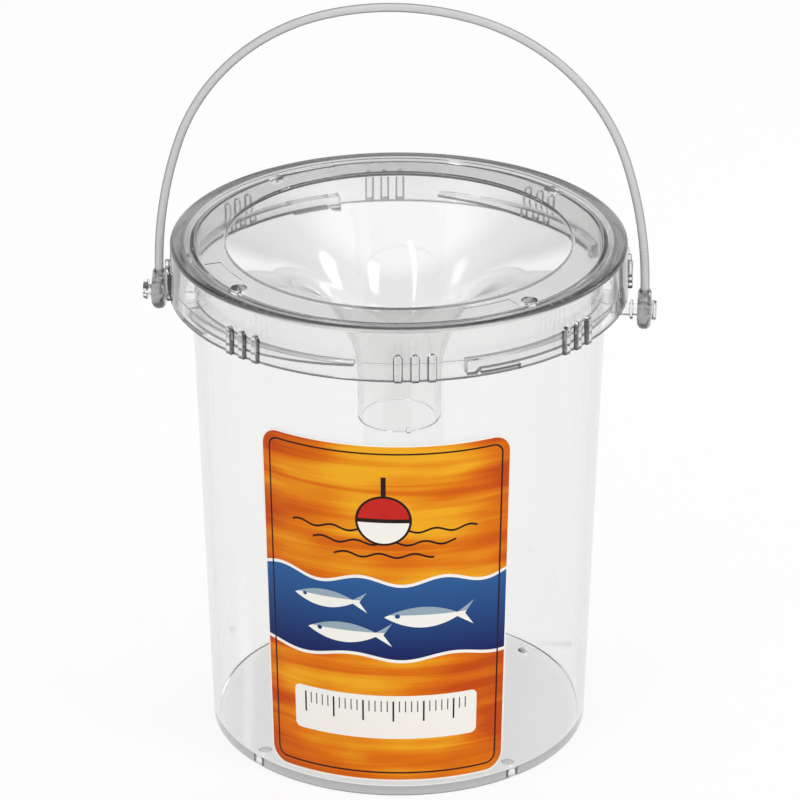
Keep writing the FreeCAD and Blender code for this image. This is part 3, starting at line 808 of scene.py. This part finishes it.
# Bail rod: a thin drawn rod of milky plastic, bent warm into a tall arch. Its tapered tips are pushed into
# the sockets of the two eyes.
ROD_RADIUS = 1.45 * MM
ROD_TIP_RADIUS = 0.9 * MM
ROD_TIP_LENGTH = 2.0 * MM
ROD_TIP_PLAY = 0.05 * MM
LEG_BEND_RADIUS = 140.9 * MM
LEG_BEND_SWEEP = math.radians(18.1)
SHOULDER_RADIUS = 70.1 * MM
SHOULDER_SWEEP = math.radians(56.2)
BEND_STEPS = 32
ROD_SIDES = 32
ROD_IOR = 1.49
ROD_CLEARNESS = 0.25
ROD_CORE_DULL = (0.68, 0.68, 0.67, 1.0)
ROD_CORE_PALE = (0.76, 0.76, 0.75, 1.0)
ROD_CLOUD_SCALE = 60.0
# Tone and facing range of the painted shade that darkens the rod's rim.
ROD_RIM_SHADE = 0.20
ROD_RIM_SHADE_RANGE = (0.22, 0.65)
DRAWN_LINE_SCALE = (120, 900, 120)
DRAWN_LINE_BUMP = 0.03
DRAWN_LINE_DEPTH = 0.05 * MM
ROD_ROUGHNESS = (0.24, 0.36)


def rod_tree():
    """Geometry tree that sweeps a round rod with tapered tips along a path of edges."""
    tree = bpy.data.node_groups.new("rod_along_path", "GeometryNodeTree")
    add_sockets(
        tree,
        {"Path": "Geometry", "Radius": "Float", "Tip Radius": "Float", "Tip Length": "Float",
         "Sides": "Int", "Finish": "Material"},
        {"Rod": "Geometry"},
    )
    sizes = tree.nodes.new("NodeGroupInput").outputs
    curve = place(tree, "GeometryNodeMeshToCurve", {"Mesh": sizes["Path"]}).outputs[0]
    run = tree.nodes.new("GeometryNodeSplineParameter").outputs["Length"]
    length = tree.nodes.new("GeometryNodeSplineLength").outputs["Length"]
    from_end = calc(tree, "MINIMUM", run, calc(tree, "SUBTRACT", length, run))
    radius = ranged(tree, from_end, 0.0, sizes["Tip Length"], sizes["Tip Radius"], sizes["Radius"])
    section = place(tree, "GeometryNodeCurvePrimitiveCircle", {"Resolution": sizes["Sides"], "Radius": 1.0})
    swept = place(tree, "GeometryNodeCurveToMesh", {
        "Curve": curve, "Profile Curve": section.outputs[0], "Scale": radius, "Fill Caps": True,
    })
    end_tree(tree, swept.outputs[0], sizes["Finish"], "Rod")
    return tree


def milky_plastic(name):
    """Cloudy plastic that lets some light through, with painted shade on its rim and faint drawing lines
    along it.
    """
    material, tree, shader = new_material(name)
    where = tree.nodes.new("ShaderNodeTexCoord").outputs["Object"]
    clouds = noise(tree, where, detail=2.0, scale=ROD_CLOUD_SCALE)
    core = layer(tree, ROD_CORE_DULL, clouds, ROD_CORE_PALE)
    # Painted shade: the colour darkens where the rod turns away from the view, in place of the dark rim that
    # a clear rod refracts.
    turned_away = tree.nodes.new("ShaderNodeLayerWeight").outputs["Facing"]
    tone = layer(tree, core, ranged(tree, turned_away, *ROD_RIM_SHADE_RANGE), grey(ROD_RIM_SHADE))
    lines = noise(tree, stretched(tree, where, DRAWN_LINE_SCALE), detail=1.0)
    rough = ranged(tree, lines, 0.0, 1.0, *ROD_ROUGHNESS)
    dress(tree, shader, tone, rough, bumped(tree, lines, DRAWN_LINE_BUMP, DRAWN_LINE_DEPTH))
    shader.inputs["IOR"].default_value = ROD_IOR
    shader.inputs["Transmission Weight"].default_value = ROD_CLEARNESS
    return material


def add_bend(points, radius, start, end):
    """Carry a path (across, up) on along a tangent arc, from one angle of the arch to another."""
    across, up = points[-1]
    centre = (across - radius * math.cos(start), up - radius * math.sin(start))
    points += arc(centre, radius, start, end, BEND_STEPS)[1:]


rod_milky = milky_plastic("rod_milky")
crown_start = LEG_BEND_SWEEP + SHOULDER_SWEEP
foot_heights = (socket_floor + ROD_TIP_PLAY, socket_floor + ROD_TIP_LENGTH, eye_top)
half_arch = [(eye_centre, height) for height in foot_heights]
add_bend(half_arch, LEG_BEND_RADIUS, 0, LEG_BEND_SWEEP)
add_bend(half_arch, SHOULDER_RADIUS, LEG_BEND_SWEEP, crown_start)
add_bend(half_arch, half_arch[-1][0] / math.cos(crown_start), crown_start, math.pi / 2)
arch = half_arch[:-1] + [(-across, up) for across, up in reversed(half_arch)]
path = bmesh.new()
arch_verts = [path.verts.new((across, 0, up)) for across, up in arch]
for first, second in zip(arch_verts, arch_verts[1:]):
    path.edges.new((first, second))
rod = new_piece("bail_arch", path)
run_tree(
    rod, rod_tree(), radius=ROD_RADIUS, tip_radius=ROD_TIP_RADIUS, tip_length=ROD_TIP_LENGTH,
    sides=ROD_SIDES, finish=rod_milky,
)
rod.data.transform(as_bail_lies)
smoothed(rod)
finish_piece(rod, "bail", "bail_rod")

# Label: a printed film sticker with round corners, glued round the front of the jar. Its back, seen through
# the jar, is plain white. The print's places and sizes are millimetres on the flat film, from its lower left
# corner, and a minnow's are shares of its half length and half depth.
LABEL_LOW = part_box("label")[0].z
LABEL_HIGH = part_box("label")[1].z
LABEL_FIRST_ANGLE = -35.0
LABEL_SWEEP = 73.4
LABEL_CORNER = 6.5 * MM
LABEL_THICKNESS = 0.15 * MM
LABEL_GLUE = 0.2 * MM
LABEL_COLUMNS = 120
LABEL_ROWS = 60


def paint(red, green, blue):
    """Colour for a socket from display values of 0 to 255."""
    return tuple(((value / 255 + 0.055) / 1.055) ** 2.4 for value in (red, green, blue)) + (1.0,)


GROUND_STOPS = ((0.46, paint(194, 72, 0)), (0.62, paint(222, 114, 0)), (0.78, paint(240, 170, 30)))
STREAK_SCALE = (0.01, 0.22, 1)
STREAK_BEND = 0.6
STREAK_WEIGHT = 0.55
PATCH_SCALE = (0.018, 0.045, 1)
PATCH_WEIGHT = 0.9
# Depth of the darkening towards the label's sides, partly the print's own gradient and partly painted shade
# of the jar's curve.
SIDE_PRINT_AND_SHADE = -0.22
PAPER = paint(243, 241, 234)
INK = paint(38, 22, 16)
FLOAT_RED = paint(196, 38, 30)
FLOAT_LEVEL = 96.0
FLOAT_RADIUS = 8.5
FLOAT_OUTLINE = 0.4
FLOAT_BAND = 0.7
STICK_HALF = (0.8, 3.6)
STICK_LIFT = 3.5
RIPPLE_LEVELS = (92.5, 88.0, 83.5)
RIPPLE_RISE = 0.7
RIPPLE_LENGTH = 11.0
RIPPLE_SHIFT = 1.9
RIPPLE_LINE = 0.38
RIPPLE_REACH = 30.0
RIPPLE_TAPER = 7.0
WATER_DEEP = paint(20, 32, 92)
WATER_LIGHT = paint(44, 92, 150)
WATER_TOP = 74.0
WATER_BOTTOM = 46.0
WATER_LINE = 0.55
SURFACE_WAVE = {"rise": 1.5, "length": 27.0, "shift": 0.0}
BED_WAVE = {"rise": 1.2, "length": 33.0, "shift": 2.0}
MINNOWS = (((22.0, 66.0), 21.0), ((54.0, 61.0), 25.0), ((28.0, 54.5), 24.0))
MINNOW_BACK = paint(150, 168, 182)
MINNOW_DEPTH = 0.3
TAIL_SPREAD = 2.2
TAIL_START = 0.8
TAIL_END = 1.1
TAIL_FORK = 0.2
MINNOW_EYE = (-0.66, 0.12)
MINNOW_EYE_FLAT = 0.32
MINNOW_EYE_SQUARE = 0.0045
BACK_START = 0.22
RULER_LEVEL = 24.0
RULER_HALF = (31.0, 8.0)
RULER_CORNER = 2.0
RULER_TICKS = ((2.0, 4.0, 0.35), (10.0, 7.5, 0.6))
TICKS_FROM_END = 4.0
TICKS_FROM_TOP = 2.0
TICK_ROOM = 0.4
BORDER_INSET = 3.2
BORDER_LINE = 0.3
BARE_EDGE = 0.6
FILM_SCALE = 0.35
FILM_ROUGHNESS = (0.28, 0.46)
FILM_BUMP = 0.08
FILM_DEPTH = 0.1 * MM
GRAIN_SCALE = 9.0
GRAIN_BUMP = 0.05
GRAIN_DEPTH = 0.02 * MM
FILM_SPECULAR = 0.12
BACK_DULL = (0.74, 0.74, 0.72, 1.0)
BACK_PALE = (0.84, 0.84, 0.83, 1.0)
GLUE_SCALE = 160.0
GLUE_ROUGHNESS = (0.45, 0.7)
GLUE_BUMP = 0.1
GLUE_DEPTH = 0.03 * MM


def near(tree, value, target, reach):
    """Mask of where a value is within reach of a target."""
    return calc(tree, "LESS_THAN", off_by(tree, value, target), reach)


def round_corner_distance(tree, across, up, centre, half, corner):
    """Distance outside a rectangle with round corners, negative inside it."""
    past_x = calc(tree, "SUBTRACT", off_by(tree, across, centre[0]), half[0] - corner)
    past_y = calc(tree, "SUBTRACT", off_by(tree, up, centre[1]), half[1] - corner)
    outside = sum_of_squares(tree, calc(tree, "MAXIMUM", past_x, 0.0), calc(tree, "MAXIMUM", past_y, 0.0))
    inside = calc(tree, "MINIMUM", calc(tree, "MAXIMUM", past_x, past_y), 0.0)
    return calc(tree, "SUBTRACT", calc(tree, "ADD", calc(tree, "SQRT", outside), inside), corner)


def wave_line(tree, across, up, level, rise, length, shift):
    """Height above a wavy level line."""
    phase = calc(tree, "MULTIPLY_ADD", across, math.tau / length, shift)
    return calc(tree, "SUBTRACT", up, calc(tree, "MULTIPLY_ADD", calc(tree, "SINE", phase), rise, level))


def colour_ramp(tree, value, stops):
    """Colour that follows a value through (position, colour) stops."""
    ramp = place(tree, "ShaderNodeValToRGB", {0: value})
    while len(ramp.color_ramp.elements) < len(stops):
        ramp.color_ramp.elements.new(1.0)
    for element, (position, colour) in zip(ramp.color_ramp.elements, stops):
        element.position = position
        element.color = colour
    return ramp.outputs[0]


def minnow_group():
    """Shader group for a plain minnow from the side: a lens-shaped body, a forked tail and an eye."""
    tree = bpy.data.node_groups.new("minnow_shape", "ShaderNodeTree")
    add_sockets(
        tree,
        {"Spot": "Vector", "Centre": "Vector", "Length": "Float", "Depth": "Float"},
        {"Fish": "Float", "Back": "Float"},
    )
    given = tree.nodes.new("NodeGroupInput").outputs
    offset = place(tree, "ShaderNodeVectorMath", {0: given["Spot"], 1: given["Centre"]}, operation="SUBTRACT")
    parts = split(tree, offset.outputs[0])
    along = calc(tree, "DIVIDE", parts["X"], product(tree, given["Length"], 0.5))
    up = calc(tree, "DIVIDE", parts["Y"], product(tree, given["Depth"], 0.5))
    from_line = calc(tree, "ABSOLUTE", up)
    body = calc(tree, "LESS_THAN", calc(tree, "MULTIPLY_ADD", along, along, from_line), 1.0)
    tail_edge = calc(tree, "MULTIPLY_ADD", along, TAIL_SPREAD, -TAIL_SPREAD * TAIL_START)
    fan = calc(tree, "LESS_THAN", from_line, tail_edge)
    fork = calc(tree, "LESS_THAN", along, calc(tree, "MULTIPLY_ADD", from_line, TAIL_FORK, TAIL_END))
    eye_along = calc(tree, "SUBTRACT", along, MINNOW_EYE[0])
    eye_up = product(tree, calc(tree, "SUBTRACT", up, MINNOW_EYE[1]), MINNOW_EYE_FLAT)
    eye = calc(tree, "LESS_THAN", sum_of_squares(tree, eye_along, eye_up), MINNOW_EYE_SQUARE)
    outline = calc(tree, "MAXIMUM", body, product(tree, fan, fork))
    fish = product(tree, outline, calc(tree, "SUBTRACT", 1.0, eye))
    back = product(tree, fish, calc(tree, "GREATER_THAN", up, BACK_START))
    place(tree, "NodeGroupOutput", {"Fish": fish, "Back": back})
    return tree


def orange_ground(tree, spot, across, middle):
    """Ground of the print: orange in streaks and patches, deeper towards the sides, partly print and partly
    painted shade.
    """
    streaks = noise(tree, stretched(tree, spot, STREAK_SCALE), detail=3.0, distortion=STREAK_BEND)
    patches = noise(tree, stretched(tree, spot, PATCH_SCALE), detail=2.0)
    to_side = calc(tree, "DIVIDE", calc(tree, "SUBTRACT", across, middle), middle)
    # Deeper towards the sides: partly the print's own gradient, partly painted shade of the jar's curve.
    streaked = calc(tree, "MULTIPLY_ADD", streaks, STREAK_WEIGHT, product(tree, to_side, to_side, SIDE_PRINT_AND_SHADE))
    return colour_ramp(tree, calc(tree, "MULTIPLY_ADD", patches, PATCH_WEIGHT, streaked), GROUND_STOPS)


def float_print(tree, spot, across, up, middle):
    """Masks and colours of a round float on its ripples."""
    prints = []
    for index, level in enumerate(RIPPLE_LEVELS):
        ripple = wave_line(tree, across, up, level, RIPPLE_RISE, RIPPLE_LENGTH, index * RIPPLE_SHIFT)
        reach = near(tree, across, middle, RIPPLE_REACH - RIPPLE_TAPER * index)
        prints.append((product(tree, near(tree, ripple, 0.0, RIPPLE_LINE), reach), INK))
    from_float = place(
        tree, "ShaderNodeVectorMath", {0: spot, 1: (middle, FLOAT_LEVEL, 0)}, operation="DISTANCE",
    ).outputs["Value"]
    ball = calc(tree, "LESS_THAN", from_float, FLOAT_RADIUS)
    upper = calc(tree, "GREATER_THAN", up, FLOAT_LEVEL)
    stick_level = FLOAT_LEVEL + FLOAT_RADIUS + STICK_LIFT
    stick = product(
        tree, near(tree, across, middle, STICK_HALF[0]), near(tree, up, stick_level, STICK_HALF[1]),
    )
    return prints + [
        (stick, INK),
        (ball, PAPER),
        (product(tree, ball, upper), FLOAT_RED),
        (product(tree, ball, near(tree, up, FLOAT_LEVEL, FLOAT_BAND)), INK),
        (near(tree, from_float, FLOAT_RADIUS, FLOAT_OUTLINE), INK),
    ]


def water_print(tree, spot, across, up):
    """Masks and colours of a band of water with minnows in it."""
    surface_line = wave_line(tree, across, up, WATER_TOP, **SURFACE_WAVE)
    bed_line = wave_line(tree, across, up, WATER_BOTTOM, **BED_WAVE)
    water = product(
        tree, calc(tree, "LESS_THAN", surface_line, 0.0), calc(tree, "GREATER_THAN", bed_line, 0.0),
    )
    shallow = ranged(tree, up, WATER_BOTTOM, WATER_TOP)
    prints = [(water, layer(tree, WATER_DEEP, shallow, WATER_LIGHT))]
    prints += [(near(tree, edge, 0.0, WATER_LINE), PAPER) for edge in (surface_line, bed_line)]
    for centre, length in MINNOWS:
        fish = place(tree, "ShaderNodeGroup", {
            "Spot": spot, "Centre": (*centre, 0), "Length": length, "Depth": length * MINNOW_DEPTH,
        }, node_tree=minnow_shape).outputs
        prints += [(fish["Fish"], PAPER), (fish["Back"], MINNOW_BACK)]
    return prints


def ruler_print(tree, across, up, middle):
    """Masks and colours of a pale panel with the ticks of a ruler."""
    panel = round_corner_distance(tree, across, up, (middle, RULER_LEVEL), RULER_HALF, RULER_CORNER)
    prints = [(calc(tree, "LESS_THAN", panel, 0.0), PAPER)]
    ticks_half = RULER_HALF[0] - TICKS_FROM_END
    from_start = calc(tree, "SUBTRACT", across, middle - ticks_half)
    in_ruler = near(tree, across, middle, ticks_half + TICK_ROOM)
    ticks_top = RULER_LEVEL + RULER_HALF[1] - TICKS_FROM_TOP
    for gap, length, thickness in RULER_TICKS:
        beside = calc(tree, "ABSOLUTE", calc(tree, "PINGPONG", from_start, gap / 2))
        mark = product(tree, calc(tree, "LESS_THAN", beside, thickness / 2), in_ruler)
        tall = near(tree, up, ticks_top - length / 2, length / 2)
        prints.append((product(tree, mark, tall), INK))
    return prints


def border_print(tree, across, up, middle, half_height):
    """Masks and colours of a thin border line and the film's bare edge."""
    half = (middle, half_height)
    from_edge = round_corner_distance(tree, across, up, half, half, LABEL_CORNER / MM)
    return [
        (near(tree, from_edge, -BORDER_INSET, BORDER_LINE), INK),
        (calc(tree, "GREATER_THAN", from_edge, -BARE_EDGE), PAPER),
    ]


def printed_film(name, width, height):
    """Satin printed film: an orange ground, a float on the water, minnows below it, a ruler and a border."""
    material, tree, shader = new_material(name)
    flat = tree.nodes.new("ShaderNodeUVMap").outputs[0]
    spot = stretched(tree, flat, (width, height, 1))
    where = split(tree, spot)
    across = where["X"]
    up = where["Y"]
    middle = width / 2
    colour = orange_ground(tree, spot, across, middle)
    prints = float_print(tree, spot, across, up, middle)
    prints += water_print(tree, spot, across, up)
    prints += ruler_print(tree, across, up, middle)
    prints += border_print(tree, across, up, middle, height / 2)
    for mask, ink in prints:
        colour = layer(tree, colour, mask, ink)
    film = noise(tree, spot, detail=3.0, scale=FILM_SCALE)
    grain = noise(tree, spot, detail=1.0, scale=GRAIN_SCALE)
    rippled = bumped(tree, film, FILM_BUMP, FILM_DEPTH)
    normal = bumped(tree, grain, GRAIN_BUMP, GRAIN_DEPTH, Normal=rippled)
    dress(tree, shader, colour, ranged(tree, film, 0.0, 1.0, *FILM_ROUGHNESS), normal)
    shader.inputs["Specular IOR Level"].default_value = FILM_SPECULAR
    return material


def white_film(name):
    """Unprinted back of the film, with cloudy patches where the glue is thicker."""
    material, tree, shader = new_material(name)
    where = tree.nodes.new("ShaderNodeTexCoord").outputs["Object"]
    glue = noise(tree, where, detail=4.0, scale=GLUE_SCALE)
    tone = layer(tree, BACK_DULL, glue, BACK_PALE)
    rough = ranged(tree, glue, 0.0, 1.0, *GLUE_ROUGHNESS)
    dress(tree, shader, tone, rough, bumped(tree, glue, GLUE_BUMP, GLUE_DEPTH))
    return material


minnow_shape = minnow_group()
label_sweep = math.radians(LABEL_SWEEP)
label_width = label_sweep * jar_radius((LABEL_LOW + LABEL_HIGH) / 2)
label_height = LABEL_HIGH - LABEL_LOW
label_film = printed_film("label_film", label_width / MM, label_height / MM)
label_back = white_film("label_back")
sheet = bmesh.new()
uv_layer = sheet.loops.layers.uv.new("label")
columns = []
for column in range(LABEL_COLUMNS + 1):
    along = label_width * column / LABEL_COLUMNS
    from_side = min(along, label_width - along)
    into_corner = max(0, LABEL_CORNER - from_side)
    trim = LABEL_CORNER - math.sqrt(max(0, LABEL_CORNER ** 2 - into_corner ** 2))
    turn = math.radians(LABEL_FIRST_ANGLE) + label_sweep * column / LABEL_COLUMNS
    cells = []
    for row in range(LABEL_ROWS + 1):
        up = LABEL_LOW + trim + (label_height - 2 * trim) * row / LABEL_ROWS
        radius = jar_radius(up) + LABEL_GLUE
        vert = sheet.verts.new((radius * math.sin(turn), -radius * math.cos(turn), up))
        cells.append((vert, (along / label_width, (up - LABEL_LOW) / label_height)))
    columns.append(cells)
for left, right in zip(columns, columns[1:]):
    for row in range(LABEL_ROWS):
        corners = (left[row], right[row], right[row + 1], left[row + 1])
        face = sheet.faces.new([vert for vert, _ in corners])
        for loop, (_, spot) in zip(face.loops, corners):
            loop[uv_layer].uv = spot
label = new_piece("front_label", sheet)
label.data.materials.append(label_film)
label.data.materials.append(label_back)
thickened = label.modifiers.new("film", "SOLIDIFY")
thickened.thickness = LABEL_THICKNESS
thickened.offset = 1
thickened.material_offset = 1
thickened.material_offset_rim = 1
settle(label)
smoothed(label)
finish_piece(label, "jar", "label")

# Table, light and camera: the jar stands on a white table top in a soft, even studio light. Four lamps that
# fade towards their edges give its highlights, and the camera stands at the photograph's place.
FLOOR_GAP = 0.3 * MM
FLOOR_SIZE = 8.0
FLOOR_TONE = 0.93
FLOOR_ROUGHNESS = 0.9
FLOOR_GLOW = 0.8
FILL_LEVEL = 0.8
SKY_STOPS = ((0.0, 1.0), (0.58, 1.0), (0.66, 0.12), (0.84, 0.12), (0.93, 1.5))
LAMP_DISTANCE = 1.6
LAMP_AIM = Vector((0, 0, 0.12))
LAMP_PEAK = 4.0
SOFTBOXES = (
    ("softbox_right_back", (0.74, 0.44, 0.50), (0.45, 0.75), 7.0),
    ("softbox_right_front", (0.55, -0.45, 0.70), (0.45, 0.75), 9.0),
    ("strip_left_front", (-0.33, -0.52, 0.79), (0.14, 1.6), 7.0),
    ("softbox_left_back", (-0.79, 0.28, 0.55), (0.50, 0.70), 2.0),
)
CAMERA_DISTANCE = 1.4598
CAMERA_HEIGHT = 0.7914
CAMERA_AZIMUTH = math.radians(6.0)
CAMERA_PITCH = math.radians(24.896)
CAMERA_FOCAL_PIXELS = 4900.8
IMAGE_PIXELS = 800
AXIS_PIXEL = 398.83
SENSOR = 36.0


def ray_masks(tree):
    """Masks of what the camera sees, and of what is seen in and through other surfaces."""
    rays = tree.nodes.new("ShaderNodeLightPath").outputs
    return rays["Is Camera Ray"], calc(tree, "MAXIMUM", rays["Is Glossy Ray"], rays["Is Transmission Ray"])


slab = bmesh.new()
bmesh.ops.create_grid(
    slab, x_segments=1, y_segments=1, size=FLOOR_SIZE / 2, matrix=Matrix.Translation((0, 0, -FLOOR_GAP)),
)
floor = new_piece("table_top", slab)
white_top, tree, shader = new_material("white_top")
shader.inputs["Base Color"].default_value = grey(FLOOR_TONE)
shader.inputs["Roughness"].default_value = FLOOR_ROUGHNESS
seen = calc(tree, "MAXIMUM", *ray_masks(tree))
glow = place(tree, "ShaderNodeEmission", {"Color": grey(1.0), "Strength": 1.0})
top = mixed_shader(tree, product(tree, seen, FLOOR_GLOW), shader.outputs[0], glow.outputs[0])
tree.links.new(top, tree.nodes["Material Output"].inputs["Surface"])
floor.data.materials.append(white_top)

world = bpy.data.worlds.new("studio")
world.use_nodes = True
bpy.context.scene.world = world
tree = world.node_tree
tree.nodes.clear()
direction = tree.nodes.new("ShaderNodeTexCoord").outputs["Generated"]
height = split(tree, direction)["Z"]
sky = colour_ramp(tree, ranged(tree, height, -1.0, 1.0), [(at, grey(level)) for at, level in SKY_STOPS])
surround, fill, backdrop = (
    place(tree, "ShaderNodeBackground", {"Color": colour, "Strength": strength}).outputs[0]
    for colour, strength in ((sky, 1.0), (grey(1.0), FILL_LEVEL), (grey(1.0), 1.0))
)
to_camera, mirrored = ray_masks(tree)
around = mixed_shader(tree, mirrored, fill, surround)
seen_world = mixed_shader(tree, to_camera, around, backdrop)
place(tree, "ShaderNodeOutputWorld", {"Surface": seen_world})

for name, towards, size, power in SOFTBOXES:
    lamp_data = bpy.data.lights.new(name, "AREA")
    lamp_data.shape = "RECTANGLE"
    lamp_data.size = size[0]
    lamp_data.size_y = size[1]
    lamp_data.energy = power
    lamp_data.use_nodes = True
    tree = lamp_data.node_tree
    on_face = split(tree, tree.nodes.new("ShaderNodeNewGeometry").outputs["Parametric"])
    fades = [
        product(tree, on_face[axis], LAMP_PEAK, calc(tree, "SUBTRACT", 1.0, on_face[axis]))
        for axis in ("X", "Y")
    ]
    tree.links.new(product(tree, *fades), tree.nodes["Emission"].inputs["Strength"])
    lamp = put_in_scene(name, lamp_data)
    lamp_place = Matrix.Rotation(CAMERA_AZIMUTH, 4, "Z") @ (Vector(towards).normalized() * LAMP_DISTANCE)
    lamp.location = lamp_place + LAMP_AIM
    lamp.rotation_euler = lamp_place.to_track_quat("Z", "Y").to_euler()

camera_data = bpy.data.cameras.new("photo_camera")
camera_data.sensor_width = SENSOR
camera_data.lens = SENSOR * CAMERA_FOCAL_PIXELS / IMAGE_PIXELS
camera = put_in_scene("photo_camera", camera_data)
axis_offset = math.atan((IMAGE_PIXELS / 2 - AXIS_PIXEL) / CAMERA_FOCAL_PIXELS)
camera.location = (
    CAMERA_DISTANCE * math.sin(CAMERA_AZIMUTH), -CAMERA_DISTANCE * math.cos(CAMERA_AZIMUTH), CAMERA_HEIGHT,
)
camera.rotation_euler = (math.pi / 2 - CAMERA_PITCH, 0, CAMERA_AZIMUTH - axis_offset)
bpy.context.scene.camera = camera
bpy.context.scene.view_settings.view_transform = "Standard"
